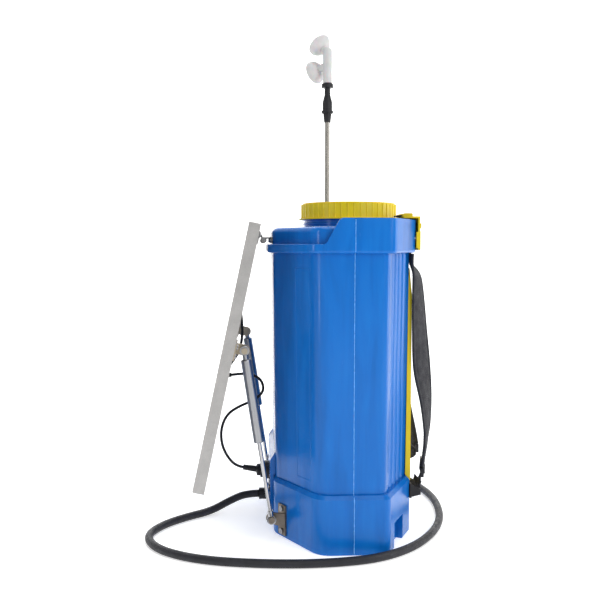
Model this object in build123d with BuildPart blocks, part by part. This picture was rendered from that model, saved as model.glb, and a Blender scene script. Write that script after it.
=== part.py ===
"""Solar-charged knapsack sprayer with a tilting solar panel, shoulder straps, hose and lance.

Millimetres. The origin is the middle of the base on the floor. +X is the wearer's right, +Y is the side
that lies against the wearer's back, -Y is the rear, where the solar panel hangs, and +Z is up.
"""

from build123d import *
import math
import os

os.makedirs("parts", exist_ok=True)

# ---------------------------------------------------------------- driving dimensions
# Tank plan: an octagon that is symmetric about X = 0
SIDE = 190.0  # half width of the body at its top
REAR = -107.0
WEARER = 98.0
REAR_CHAMFER = (98.0, 61.0)  # along X, along Y
WEARER_CHAMFER = (95.0, 47.0)
CORNER_R = 26.0
SIDE_CORNER_R = 34.0
RIB_COUNT = 5  # upright ribs on each wearer chamfer
RIB_RISE = 2.4
BODY_TAPER = 3.0  # the body is this much smaller all round at its foot
WALL = 4.0

# Tank heights
BASE_TOP = 85.0
RIM_LOW = 426.0
RIM_TOP = 439.0
DOME_TOP = 463.5
COLLAR_TOP = 475.0
NECK_TOP = 495.0
FLOOR_PLATE = 5.0  # tank floor above the base compartment

# Base, rim and dome plans: side, rear, wearer
BASE_PLAN = (196.0, -107.0, 100.5)
RIM_PLAN = (198.0, -115.5, 106.0)
DOME_PLAN = (187.0, -108.0, 82.0)
COLLAR_WALL = 5.0
COLLAR_FOOT_Y = -37.0  # the collar's sloped ends rise from here
COLLAR_HEAD_Y = -17.0  # and reach full height here

# Neck and lid
MOUTH_Y = 17.0
NECK_R = 71.8
NECK_BORE_R = 67.0
THREAD_RISE = 1.6
LID_R = 76.6
LID_TOP = 504.0
LID_LOW = 478.0
LID_RIBS = 48

# Base compartment
COVER_T = 4.0
POST_R = 6.0
POSTS = [(sx * 176.0, sy * 30.0) for sx in (-1, 1) for sy in (-1, 1)]
POCKET = (153.0, 74.8)  # middle of the corner foot pockets, on the base chamfer
POCKET_W = 44.0
POCKET_H = 38.0
POCKET_DEEP = 10.0
POCKET_TURN = -math.degrees(math.atan2(WEARER_CHAMFER[1], WEARER_CHAMFER[0]))
SUMP = (50.0, -62.0)
SPIGOT_LOW = 70.0
SPIGOT_R = 7.0
SPIGOT_BORE_R = 4.5

# Rear hatch, with socket, switch and hose outlet
HATCH_Y = -112.0
HATCH_W = 164.0
HATCH_LOW = 12.0
HATCH_TOP = 120.0
HATCH_T = 3.0
HATCH_HOLE = (120.0, 14.0, 82.0)  # opening in the base wall behind it: width, bottom, top
SOCKET_Z = 70.0
SOCKET_R = 14.8
SOCKET_FACE = -121.3
SWITCH = (48.0, 62.0)  # X, Z
OUTLET = (-10.0, 27.0)  # X, Z

# Solar panel
PANEL_W = 350.0
PANEL_L = 392.0
PANEL_T = 17.0
PANEL_TILT = 12.14  # degrees from upright
PANEL_MID = (-174.7, 277.5)  # Y, Z
FRAME_WALL = 1.6
FLANGE_W = 20.0  # back flange of the frame
LAMINATE_T = 4.0

# Panel hinges
HINGE_AXIS = (-120.8, 445.1)  # Y, Z
HINGE_X = 60.0
KNUCKLE_R = 4.6
KNUCKLE_L = 40.0
HINGE_PIN_R = 2.0
SHEET = 1.5
RUN = 0.05  # radial clearance of a running fit

# Gas struts
STRUT_X = 135.0
STRUT_LOW = (-111.1, 33.1)  # Y, Z of the lower eye
STRUT_HIGH = (-149.8, 284.4)
STRUT_TUBE = (117.8, 241.5)  # start and end of the tube, from the lower eye
STRUT_TUBE_R = 7.5
STRUT_ROD_R = 3.0
STRUT_PIN_R = 3.0
EYE_R = 7.0
EYE_T = 5.0
OPEN_PIVOT_GAP = 0.8  # radial play at the upper eye
FOOT_X = 119.5  # middle of the foot plate, inward of the strut
FOOT_Z = 28.0
FOOT_SIZE = (19.0, 46.0)
FOOT_T = 2.5

# Straps and back plate
STRAP_X = 80.0
WEB_T = 2.0
WEB_W = 36.0
SLOT_Y = 99.7  # strap slots through the rim
PLATE_HALF = 95.0
PLATE_LOW = 77.0
PLATE_TOP = 403.0
PLATE_Y = 103.0
HOOK_BAR = (113.5, 63.0)  # Y, Z of the bar that the lower webbing loops round
HOOK_BAR_R = 3.5
HOOK_T = 3.0

# Hose and cable
HOSE_R = 6.0
CABLE_R = 2.2
PLUG_TAIL = (-154.5, 74.6)  # Y, Z of the strain relief's end
PLUG_TILT = 9.0

# Lance
LANCE = (-214.0, 2.0)  # X, Y
TUBE_R = 4.5
TUBE_TOP = 667.0
GRIP_LOW = 128.0
GRIP_TOP = 262.0
TIP_TOP = 738.0
HEAD_TOP = 802.0
TRIGGER_PIVOT = (-24.0, 246.0)  # Y, Z
HOOD_R = 22.0
HOOD_TURN = 48.0  # the hoods face this far away from the rear

GAP = 0.3  # between parts that move past each other
SIDES = {"right": 1, "left": -1}
UP = (Align.CENTER, Align.CENTER, Align.MIN)


def save(part, label):
    """Labels a finished piece and writes its STEP file."""
    part.label = label
    export_step(part, f"parts/{label}.step")


def on_face(x, y, z, outward):
    """A place on a face, with its local z axis pointing outwards."""
    return Plane(origin=(x, y, z), z_dir=outward).location


def strip(points, thickness):
    """A bent sheet's edge: straight bars with round corners, added to the sketch."""
    for (y0, z0), (y1, z1) in zip(points, points[1:]):
        turn = math.degrees(math.atan2(z1 - z0, y1 - y0))
        with Locations(((y0 + y1) / 2, (z0 + z1) / 2)):
            Rectangle(math.dist((y0, z0), (y1, z1)), thickness, rotation=turn)
    if len(points) > 2:
        with Locations(*points[1:-1]):
            Circle(thickness / 2)


# ---------------------------------------------------------------- screws that enter the tank
REAR_NORMAL = Vector(REAR_CHAMFER[1], -REAR_CHAMFER[0], 0).normalized()
FOOT_Y = BASE_PLAN[1] + (FOOT_X - BASE_PLAN[0] + REAR_CHAMFER[0]) * REAR_CHAMFER[1] / REAR_CHAMFER[0]
BITE = 3.0  # how far each screw goes into a wall
HOLE_PLAY = 0.1

PLATE_SCREW_Z = (112.0, 330.0)
PLATE_SEAT_Y = 101.2  # the plate's screw heads sit here


def body_y(z):
    """Where the body's wearer face is at a height."""
    return WEARER - BODY_TAPER * (RIM_LOW + 4 - z) / (RIM_LOW + 7 - BASE_TOP)


# each set: places, thickness held, shank radius, head radius, head height
TANK_SCREWS = {
    "hinge": (
        [
            on_face(s * (HINGE_X + dx), DOME_PLAN[1], HINGE_AXIS[1], (0, -1, 0))
            for s in SIDES.values()
            for dx in (-24.0, 24.0)
        ],
        SHEET, 1.5, 2.8, 1.8,
    ),
    "strut_foot": (
        [
            on_face(s * FOOT_X, FOOT_Y, FOOT_Z + dz, (s * REAR_NORMAL.X, REAR_NORMAL.Y, 0))
            for s in SIDES.values()
            for dz in (-17.0, 17.0)
        ],
        FOOT_T, 2.0, 4.0, 2.4,
    ),
    "hatch": (
        [on_face(s * 74.0, BASE_PLAN[1], z, (0, -1, 0)) for s in SIDES.values() for z in (22.0, 72.0)],
        BASE_PLAN[1] - HATCH_Y, 1.8, 3.6, 2.0,
    ),
    "strap_hook": (
        [
            on_face(s * STRAP_X + dx, BASE_PLAN[2], HOOK_BAR[1], (0, 1, 0))
            for s in SIDES.values()
            for dx in (-13.0, 13.0)
        ],
        HOOK_T, 1.8, 3.6, 2.0,
    ),
    "hanger": (
        [
            on_face(s * STRAP_X + dx, RIM_PLAN[2], 448.0, (0, 1, 0))
            for s in SIDES.values()
            for dx in (-26.0, 26.0)
        ],
        4.0, 1.8, 3.6, 2.0,
    ),
    "plate_low": (
        [on_face(x, body_y(PLATE_SCREW_Z[0]), PLATE_SCREW_Z[0], (0, 1, 0)) for x in (-30.0, 30.0)],
        PLATE_SEAT_Y - body_y(PLATE_SCREW_Z[0]), 1.8, 3.6, 1.4,
    ),
    "plate_high": (
        [on_face(x, body_y(PLATE_SCREW_Z[1]), PLATE_SCREW_Z[1], (0, 1, 0)) for x in (-30.0, 30.0)],
        PLATE_SEAT_Y - body_y(PLATE_SCREW_Z[1]), 1.8, 3.6, 1.4,
    ),
    "cover": ([on_face(x, y, COVER_T, (0, 0, -1)) for x, y in POSTS], 1.6, 1.5, 3.6, 2.0),
}


def screw_set(places, held, shank_r, head_r, head_h, bite=BITE):
    """Pan-head screws with a cross recess, added to the part that is being built."""
    for place in places:
        with Locations(place):
            with Locations((0, 0, -bite)):
                Cylinder(shank_r, bite + held, align=UP)
            with Locations((0, 0, held)):
                Cylinder(head_r, head_h, align=UP)
            with Locations((0, 0, held + head_h)):
                Box(head_r * 1.2, 0.7, head_h, mode=Mode.SUBTRACT)
                Box(0.7, head_r * 1.2, head_h, mode=Mode.SUBTRACT)


# ---------------------------------------------------------------- tank
def tank_plan(side, rear, wearer, ribs=False):
    """The octagonal plan, with plain or ribbed wearer chamfers."""
    corner = (side, wearer - WEARER_CHAMFER[1])
    end = Vector(side - WEARER_CHAMFER[0], wearer)
    along = Vector(*corner) - end
    outward = Vector(-along.Y, along.X).normalized() * RIB_RISE
    last = 0.84 if ribs else 0.5  # share of the chamfer that the ribs take up
    with BuildSketch() as plan:
        with BuildLine():
            Line((0, wearer), end)
            if ribs:
                for i in range(RIB_COUNT):
                    a = end + along * (last * i / RIB_COUNT)
                    b = end + along * (last * (i + 1) / RIB_COUNT)
                    ThreePointArc(a, (a + b) / 2 - outward, b)
            else:
                Line(end, end + along * last)
            side_rear = (side, rear + REAR_CHAMFER[1])
            rear_corner = (side - REAR_CHAMFER[0], rear)
            middle = (side, (corner[1] + side_rear[1]) / 2)
            head = FilletPolyline(end + along * last, corner, middle, radius=CORNER_R / 2)
            FilletPolyline(head @ 1, side_rear, rear_corner, (0, rear), radius=SIDE_CORNER_R)
            mirror(about=Plane.YZ)
        make_face()
    return plan.sketch


def shrunk(plan, by):
    """A plan's side, rear and wearer sizes, moved inwards."""
    return plan[0] - by, plan[1] + by, plan[2] - by


BODY_PLAN = (SIDE, REAR, WEARER)
body_low = tank_plan(*shrunk(BODY_PLAN, BODY_TAPER), ribs=True)
body_high = tank_plan(*BODY_PLAN, ribs=True)
chamber_low = tank_plan(*shrunk(BODY_PLAN, BODY_TAPER + WALL))
chamber_high = tank_plan(*shrunk(BODY_PLAN, WALL))
base_hollow = tank_plan(*shrunk(BASE_PLAN, WALL))
rim_plan = tank_plan(*RIM_PLAN)
collar_inner = tank_plan(*shrunk(RIM_PLAN, COLLAR_WALL))

with BuildPart() as base_block:
    with BuildSketch():
        add(tank_plan(*BASE_PLAN))
    extrude(amount=BASE_TOP)
    chamfer(base_block.faces().sort_by(Axis.Z)[-1].edges(), length=5.0)
    fillet(base_block.faces().sort_by(Axis.Z)[0].edges(), radius=2.5)

with BuildPart() as rim_block:
    with BuildSketch(Plane.XY.offset(RIM_LOW)):
        add(rim_plan)
    extrude(amount=RIM_TOP - RIM_LOW)
    fillet(rim_block.faces().sort_by(Axis.Z)[0].edges(), radius=4.0)
    fillet(rim_block.faces().sort_by(Axis.Z)[-1].edges(), radius=1.5)

with BuildPart() as dome_block:
    with BuildSketch(Plane.XY.offset(RIM_TOP - 1)):
        add(tank_plan(*DOME_PLAN))
    extrude(amount=DOME_TOP - RIM_TOP + 1)
    fillet(dome_block.faces().sort_by(Axis.Z)[-1].edges(), radius=8.0)

with BuildPart() as collar_block:
    with BuildSketch(Plane.XY.offset(RIM_TOP - 3)):
        add(rim_plan)
        add(collar_inner, mode=Mode.SUBTRACT)
    extrude(amount=COLLAR_TOP - RIM_TOP + 3)
    with BuildSketch(Plane.YZ):
        with BuildLine():
            cut_low = RIM_TOP - 0.5
            cut_back = RIM_PLAN[1] - 20
            cut_front = COLLAR_HEAD_Y + 9
            FilletPolyline(
                (COLLAR_FOOT_Y - 40, cut_low),
                (COLLAR_FOOT_Y, cut_low),
                (COLLAR_HEAD_Y, COLLAR_TOP),
                (cut_front, COLLAR_TOP + 0.01),
                radius=8.0,
            )
            Polyline(
                (cut_front, COLLAR_TOP + 0.01),
                (cut_front, COLLAR_TOP + 20),
                (cut_back, COLLAR_TOP + 20),
                (cut_back, cut_low),
                (COLLAR_FOOT_Y - 40, cut_low),
            )
        make_face()
    extrude(amount=SIDE + 20, both=True, mode=Mode.SUBTRACT)

with BuildPart() as tank_shell:
    add(base_block.part)
    with BuildSketch(Plane.XY.offset(BASE_TOP - 3)):
        add(body_low)
    with BuildSketch(Plane.XY.offset(RIM_LOW + 4)):
        add(body_high)
    loft(ruled=True)
    add(rim_block.part)
    add(dome_block.part)
    add(collar_block.part)
    # neck with its thread ridges
    with Locations((0, MOUTH_Y, DOME_TOP - 5)):
        Cylinder(NECK_R, NECK_TOP - DOME_TOP + 5, align=UP)
    with BuildSketch(Plane.XZ.offset(-MOUTH_Y)):
        for z in (NECK_TOP - 24.0, NECK_TOP - 17.0, NECK_TOP - 10.0):
            with Locations((NECK_R, z)):
                Trapezoid(3.6, THREAD_RISE, 60, rotation=-90, align=(Align.CENTER, Align.MIN))
    revolve(axis=Axis((0, MOUTH_Y, 0), (0, 0, 1)))
    # tank chamber
    with BuildSketch(Plane.XY.offset(BASE_TOP + FLOOR_PLATE)):
        add(chamber_low)
    with BuildSketch(Plane.XY.offset(RIM_LOW - 2)):
        add(chamber_high)
    loft(ruled=True, mode=Mode.SUBTRACT)
    with BuildSketch(Plane.XY.offset(RIM_LOW - 3)):
        add(tank_plan(*shrunk(DOME_PLAN, WALL)))
    extrude(amount=DOME_TOP - WALL - RIM_LOW + 3, mode=Mode.SUBTRACT)
    with Locations((0, MOUTH_Y, DOME_TOP - WALL - 1)):
        Cylinder(NECK_BORE_R, 60, align=UP, mode=Mode.SUBTRACT)
    # base compartment, open below, with screw posts
    with BuildSketch():
        add(base_hollow)
    extrude(amount=BASE_TOP - 3, mode=Mode.SUBTRACT)
    with BuildSketch(Plane.XY.offset(COVER_T)):
        with Locations(*POSTS):
            Circle(POST_R)
    extrude(amount=BASE_TOP - COVER_T)
    with Locations(*[(x, y, 0) for x, y in POSTS]):
        Cylinder(1.6, 20, align=UP, mode=Mode.SUBTRACT)
    # corner foot pockets, each with an inner wall and a small drain arch
    for s in SIDES.values():
        with Locations(Location((s * POCKET[0], POCKET[1], 0), (0, 0, s * POCKET_TURN))):
            with Locations((0, -POCKET_DEEP + 2, 0)):
                Box(POCKET_W + 6, POCKET_DEEP, POCKET_H + 3, align=UP)
            with Locations((0, 2.5 - POCKET_DEEP / 2, 0)):
                Box(POCKET_W, POCKET_DEEP + 5, POCKET_H, align=UP, mode=Mode.SUBTRACT)
            with Locations((s * 4, -POCKET_DEEP - 2, 0)):
                Box(14, 8, 13, align=UP, mode=Mode.SUBTRACT)
    # rear opening behind the hatch
    with Locations((0, REAR, HATCH_HOLE[1])):
        Box(HATCH_HOLE[0], 16, HATCH_HOLE[2] - HATCH_HOLE[1], align=UP, mode=Mode.SUBTRACT)
    # strap slots through the rim
    with Locations(*[(s * STRAP_X, SLOT_Y, RIM_LOW + 7) for s in SIDES.values()]):
        Box(WEB_W + 6, 2.8, 16, mode=Mode.SUBTRACT)
    # sump spigot
    with Locations((*SUMP, SPIGOT_LOW)):
        Cylinder(SPIGOT_R, BASE_TOP - SPIGOT_LOW, align=UP)
        Cylinder(SPIGOT_BORE_R, 40, align=UP, mode=Mode.SUBTRACT)
    # screw holes
    for places, held, shank_r, head_r, head_h in TANK_SCREWS.values():
        for place in places:
            with Locations(place * Location((0, 0, -BITE - HOLE_PLAY))):
                Cylinder(shank_r + HOLE_PLAY, BITE + 1, align=UP, mode=Mode.SUBTRACT)
save(tank_shell.part, "tank_shell")

# ---------------------------------------------------------------- base fittings
with BuildPart() as bottom_cover:
    with BuildSketch():
        add(tank_plan(*shrunk(BASE_PLAN, WALL + GAP)))
    extrude(amount=COVER_T)
    for s in SIDES.values():
        with Locations(Location((s * POCKET[0], POCKET[1], 0), (0, 0, s * POCKET_TURN))):
            Box(POCKET_W + 8, 29, 20, mode=Mode.SUBTRACT)
    with Locations(*[(x, y, 0) for x, y in POSTS]):
        Cylinder(2.1, 20, mode=Mode.SUBTRACT)
        Cylinder(4.4, 2.4, align=UP, mode=Mode.SUBTRACT)
    with BuildSketch():
        with Locations((0, 66)):
            with GridLocations(14, 1, 9, 1):
                SlotOverall(26, 4, rotation=90)
    extrude(amount=COVER_T, mode=Mode.SUBTRACT)
save(bottom_cover.part, "bottom_cover")

HATCH_BACK = BASE_PLAN[1] - 0.1
with BuildPart() as rear_hatch:
    with BuildSketch(Plane.YZ):
        with BuildLine():
            Polyline(
                (HATCH_BACK, HATCH_LOW),
                (HATCH_Y, HATCH_LOW),
                (HATCH_Y, HATCH_TOP - 12),
                (REAR + 2.4, HATCH_TOP),
                (REAR + 2.8, BASE_TOP + 1.5),
                (HATCH_BACK, BASE_TOP - 5.5),
                close=True,
            )
        make_face()
    extrude(amount=HATCH_W / 2, both=True)
    with Locations((0, HATCH_Y + HATCH_T, HATCH_LOW + HATCH_T)):
        Box(
            HATCH_W - 2 * HATCH_T, 20, HATCH_TOP - HATCH_LOW - 24,
            align=(Align.CENTER, Align.MIN, Align.MIN), mode=Mode.SUBTRACT,
        )
    for place in TANK_SCREWS["hatch"][0]:
        with Locations(place * Location((0, 0, 0.1))):
            Cylinder(4.4, HATCH_BACK - HATCH_Y - 1, align=UP)
            Cylinder(2.0, 20, align=UP, mode=Mode.SUBTRACT)
    with Locations(Location((0, HATCH_Y, SOCKET_Z), (90, 0, 0))):
        Cylinder(10.2, 30, mode=Mode.SUBTRACT)
    with Locations(Location((OUTLET[0], HATCH_Y, OUTLET[1]), (90, 0, 0))):
        Cylinder(6.1, 30, mode=Mode.SUBTRACT)
    with Locations((SWITCH[0], HATCH_Y, SWITCH[1])):
        Box(13.2, 30, 19.2, mode=Mode.SUBTRACT)
save(rear_hatch.part, "rear_hatch")

# charging socket with its back nut
with BuildPart() as charging_socket:
    with BuildSketch(Plane.YZ):
        with BuildLine():
            Polyline(
                (HATCH_Y, SOCKET_Z),
                (HATCH_Y, SOCKET_Z + SOCKET_R),
                (SOCKET_FACE + 1.5, SOCKET_Z + SOCKET_R),
                (SOCKET_FACE, SOCKET_Z + SOCKET_R - 1.5),
                (SOCKET_FACE, SOCKET_Z),
                close=True,
            )
        make_face()
        with Locations(((HATCH_Y - 98.0) / 2, SOCKET_Z)):
            Rectangle(-98.0 - HATCH_Y, 10.0, align=(Align.CENTER, Align.MIN))
    revolve(axis=Axis((0, 0, SOCKET_Z), (0, 1, 0)))
    with Locations(Location((0, SOCKET_FACE, SOCKET_Z), (90, 0, 0))):
        Cylinder(7.0, 40, mode=Mode.SUBTRACT)
    with Locations(Location((0, HATCH_Y + HATCH_T, SOCKET_Z), (-90, 0, 0))):
        Cylinder(11.5, 3.5, align=UP)
        Cylinder(7.0, 10, align=UP, mode=Mode.SUBTRACT)
save(charging_socket.part, "charging_socket")

SWITCH_PIVOT_Y = -108.0
with BuildPart() as switch_frame:
    with Locations((SWITCH[0], HATCH_Y, SWITCH[1])):
        Box(17.0, 1.5, 23.0, align=(Align.CENTER, Align.MAX, Align.CENTER))
        Box(13.0, 13.0, 19.0, align=(Align.CENTER, Align.MIN, Align.CENTER))
    with Locations((SWITCH[0], -100.3, SWITCH[1])):
        Box(10.0, 30, 16.0, align=(Align.CENTER, Align.MAX, Align.CENTER), mode=Mode.SUBTRACT)
    with Locations(Location((SWITCH[0], SWITCH_PIVOT_Y, SWITCH[1]), (0, 90, 0))):
        Cylinder(1.0 + RUN, 12.4, mode=Mode.SUBTRACT)
save(switch_frame.part, "switch_frame")

with BuildPart() as rocker:
    with Locations(Location((SWITCH[0], SWITCH_PIVOT_Y, SWITCH[1]), (0, 90, 0))):
        Cylinder(7.4, 9.6)
    with BuildSketch(Plane.YZ.offset(SWITCH[0])):
        with BuildLine():
            Polyline(
                (SWITCH_PIVOT_Y - 4.4, SWITCH[1] - 1.2),
                (SWITCH_PIVOT_Y - 8.0, SWITCH[1] + 9.0),
                (SWITCH_PIVOT_Y - 12.0, SWITCH[1] + 9.0),
                (SWITCH_PIVOT_Y - 12.0, SWITCH[1] - 9.0),
                (SWITCH_PIVOT_Y - 3.8, SWITCH[1] - 9.0),
                close=True,
            )
        make_face()
    extrude(amount=9.6, both=True, mode=Mode.SUBTRACT)
    with Locations(Location((SWITCH[0], SWITCH_PIVOT_Y, SWITCH[1]), (0, 90, 0))):
        Cylinder(1.0, 12.0)
save(rocker.part, "rocker")

# hose outlet: a union through the hatch with a barb at each end, and the nut that holds the hose
OUTLET_AXIS = Axis((OUTLET[0], 0, OUTLET[1]), (0, 1, 0))
with BuildPart() as outlet_fitting:
    with Locations(Location((OUTLET[0], -97.0, OUTLET[1]), (90, 0, 0))):
        Cylinder(4.2, 30.0, align=UP)
    with Locations(Location((OUTLET[0], HATCH_Y + 9, OUTLET[1]), (90, 0, 0))):
        Cylinder(6.0, 10.0, align=UP)
    with BuildSketch(Plane.XZ.offset(-HATCH_Y)):
        with Locations(OUTLET):
            RegularPolygon(10.5, 6)
    extrude(amount=4.0)
    with BuildSketch(Plane.XZ.offset(-HATCH_Y - HATCH_T)):
        with Locations(OUTLET):
            RegularPolygon(9.5, 6)
    extrude(amount=-3.5)
    with Locations(Location((OUTLET[0], 0, OUTLET[1]), (90, 0, 0))):
        Cylinder(2.5, 300.0, mode=Mode.SUBTRACT)
save(outlet_fitting.part, "outlet_fitting")

HOSE_START = -129.0
with BuildPart() as hose_nut:
    with BuildSketch(Plane.XZ.offset(-HATCH_Y + 4.1)):
        with Locations(OUTLET):
            RegularPolygon(9.3, 10)
    extrude(amount=-HOSE_START + HATCH_Y - 4.1)
    with Locations(Location((OUTLET[0], HATCH_Y, OUTLET[1]), (90, 0, 0))):
        Cylinder(4.3, 15.6, align=UP, mode=Mode.SUBTRACT)
save(hose_nut.part, "hose_nut")

# plug on the panel's cable, held by its ring
with BuildPart() as cable_plug:
    with BuildSketch(Plane.YZ):
        with BuildLine():
            y = SOCKET_FACE - 0.1
            Polyline(
                (SOCKET_FACE + 15, SOCKET_Z),
                (SOCKET_FACE + 15, SOCKET_Z + 6.7),
                (y, SOCKET_Z + 6.7),
                (y, SOCKET_Z + 12.5),
                (y - 5.0, SOCKET_Z + 12.5),
                (y - 5.6, SOCKET_Z + 9.5),
                (y - 10.6, SOCKET_Z + 9.5),
                (y - 12.0, SOCKET_Z + 5.0),
                (y - 12.0, SOCKET_Z),
                close=True,
            )
        make_face()
    revolve(axis=Axis((0, 0, SOCKET_Z), (0, 1, 0)))
    tail = Plane(
        origin=(0, PLUG_TAIL[0], PLUG_TAIL[1]),
        z_dir=(0, math.cos(math.radians(PLUG_TILT)), -math.sin(math.radians(PLUG_TILT))),
    )
    with Locations(tail.location):
        Cone(4.2, 5.2, 25.0, align=UP)
save(cable_plug.part, "cable_plug")

# ---------------------------------------------------------------- inside the base
BATTERY = (-90.0, 7.0)
BATTERY_SIZE = (151.0, 94.0, 64.0)
with BuildPart() as battery:
    with Locations((*BATTERY, COVER_T)):
        Box(*BATTERY_SIZE, align=UP)
    fillet(battery.edges().filter_by(Axis.Z), radius=3.0)
    with Locations((BATTERY[0] + BATTERY_SIZE[0] / 2, BATTERY[1], COVER_T + 45)):
        with GridLocations(1, 60, 1, 2):
            Box(8, 1.2, 7, align=(Align.MIN, Align.CENTER, Align.CENTER))
save(battery.part, "battery")

STRAP_H = COVER_T + BATTERY_SIZE[2]
with BuildPart() as battery_bracket:
    inner = BATTERY_SIZE[1] / 2 + 0.3
    with BuildSketch(Plane.YZ.offset(BATTERY[0])):
        strip(
            [
                (BATTERY[1] - inner - 16, COVER_T + 1),
                (BATTERY[1] - inner - 1, COVER_T + 1),
                (BATTERY[1] - inner - 1, STRAP_H + 1.3),
                (BATTERY[1] + inner + 1, STRAP_H + 1.3),
                (BATTERY[1] + inner + 1, COVER_T + 1),
                (BATTERY[1] + inner + 16, COVER_T + 1),
            ],
            2.0,
        )
    extrude(amount=15.0, both=True)
save(battery_bracket.part, "battery_bracket")

PUMP = (60.0, 22.0, 40.0)  # middle of the pump head
PUMP_PORTS = ((-10.0, 14.0), (14.0, -6.0))  # inlet and outlet, from that middle
PORT_Y = PUMP[1] - 40.0
with BuildPart() as pump_head:
    with Locations(PUMP):
        Box(54.0, 58.0, 56.0)
    fillet(pump_head.edges().filter_by(Axis.X), radius=6.0)
    for dx, dz in PUMP_PORTS:
        with Locations(Location((PUMP[0] + dx, PUMP[1] - 29.0, PUMP[2] + dz), (90, 0, 0))):
            Cylinder(6.0, 11.0, align=UP)
            Cylinder(3.2, 60.0, mode=Mode.SUBTRACT)
    with Locations((PUMP[0], PUMP[1], COVER_T)):
        Box(54.0, 76.0, 4.0, align=UP)
        Box(40.0, 50.0, 9.0, align=UP)
    with Locations(Location((PUMP[0] + 27.0, PUMP[1], PUMP[2]), (0, -90, 0))):
        Cylinder(17.0, 20.0, align=UP, mode=Mode.SUBTRACT)
        Cylinder(3.0 + RUN, 30.0, align=UP, mode=Mode.SUBTRACT)
save(pump_head.part, "pump_head")

MOTOR_X = PUMP[0] + 27.0
with BuildPart() as pump_motor:
    with Locations(Location((MOTOR_X, PUMP[1], PUMP[2]), (0, 90, 0))):
        Cylinder(23.0, 62.0, align=UP)
    fillet(pump_motor.faces().sort_by(Axis.X)[-1].edges(), radius=3.0)
    with Locations(Location((MOTOR_X, PUMP[1], PUMP[2]), (0, 90, 0))):
        Cylinder(3.0 + RUN, 52.0, align=UP, mode=Mode.SUBTRACT)
save(pump_motor.part, "pump_motor")

with BuildPart() as pump_rotor:
    with Locations(Location((MOTOR_X - 28.0, PUMP[1], PUMP[2]), (0, 90, 0))):
        Cylinder(3.0, 78.0, align=UP)
    with Locations(Location((MOTOR_X - 16.0, PUMP[1] + 3.0, PUMP[2]), (0, 90, 0))):
        Cylinder(12.0, 11.0, align=UP)
save(pump_rotor.part, "pump_rotor")


def tube_path(points, share=0.45):
    """Straight runs joined by arcs as large as the runs allow, and the arcs' radii."""
    places = [Vector(*p) for p in points]
    radii = []
    for a, b, c in zip(places, places[1:], places[2:]):
        turn = math.radians((b - a).get_angle(c - b))
        radii.append(share * min((b - a).length, (c - b).length) / math.tan(turn / 2))
    with BuildLine() as line:
        FilletPolyline(*places, radius=radii)
    return line.wire(), radii


def tube(points, radius, label):
    """A round solid along a route, with its smallest bend and its volume compared with its length."""
    path, radii = tube_path(points)
    with BuildPart() as solid:
        with BuildSketch(Plane(origin=path @ 0, z_dir=path % 0)):
            Circle(radius)
        sweep(path=path)
    ideal = math.pi * radius**2 * path.length
    print(
        f"{label}: length {path.length:.0f}, smallest bend {min(radii):.0f},",
        f"volume over section times length {solid.part.volume / ideal:.4f}",
    )
    return solid.part


inlet = (PUMP[0] + PUMP_PORTS[0][0], PUMP[2] + PUMP_PORTS[0][1])
outlet = (PUMP[0] + PUMP_PORTS[1][0], PUMP[2] + PUMP_PORTS[1][1])
suction_route = [
    (SUMP[0], SUMP[1], SPIGOT_LOW),
    (SUMP[0], SUMP[1], SPIGOT_LOW - 9.5),
    (SUMP[0], SUMP[1] + 10.0, inlet[1]),
    (inlet[0], PORT_Y, inlet[1]),
]
delivery_route = [
    (outlet[0], PORT_Y, outlet[1]),
    (outlet[0], PORT_Y - 22.0, outlet[1]),
    (50.0, -60.0, 32.0),
    (12.0, -66.0, OUTLET[1]),
    (OUTLET[0], -78.0, OUTLET[1]),
    (OUTLET[0], -97.0, OUTLET[1]),
]
with BuildPart() as inner_hoses:
    add(tube(suction_route, 5.5, "suction hose"))
    add(tube(delivery_route, 5.5, "delivery hose"))
save(inner_hoses.part, "inner_hoses")

# ---------------------------------------------------------------- strainer, gasket and lid
MOUTH_AXIS = Axis((0, MOUTH_Y, 0), (0, 0, 1))
BASKET_LOW = 400.0
with BuildPart() as strainer_basket:
    with BuildSketch(Plane.YZ):
        with BuildLine():
            Polyline(
                (MOUTH_Y, BASKET_LOW),
                (MOUTH_Y + 58.0, BASKET_LOW),
                (MOUTH_Y + 63.5, NECK_TOP),
                (MOUTH_Y + 70.5, NECK_TOP),
                (MOUTH_Y + 70.5, NECK_TOP + 2),
                (MOUTH_Y + 61.0, NECK_TOP + 2),
                (MOUTH_Y + 55.5, BASKET_LOW + 2.5),
                (MOUTH_Y, BASKET_LOW + 2.5),
                close=True,
            )
        make_face()
    revolve(axis=MOUTH_AXIS)
    for z in (BASKET_LOW + 26.0, BASKET_LOW + 62.0):
        with Locations((0, MOUTH_Y, z)):
            with PolarLocations(58.0, 12):
                Box(20, 16, 26, mode=Mode.SUBTRACT)
    with Locations((0, MOUTH_Y, BASKET_LOW)):
        with PolarLocations(34.0, 8):
            Cylinder(9.0, 10, mode=Mode.SUBTRACT)
save(strainer_basket.part, "strainer_basket")

with BuildPart() as lid_gasket:
    with BuildSketch(Plane.XY.offset(NECK_TOP + 2.2)):
        with Locations((0, MOUTH_Y)):
            Circle(71.0)
            Circle(62.0, mode=Mode.SUBTRACT)
    extrude(amount=2.8)
save(lid_gasket.part, "lid_gasket")

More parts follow.
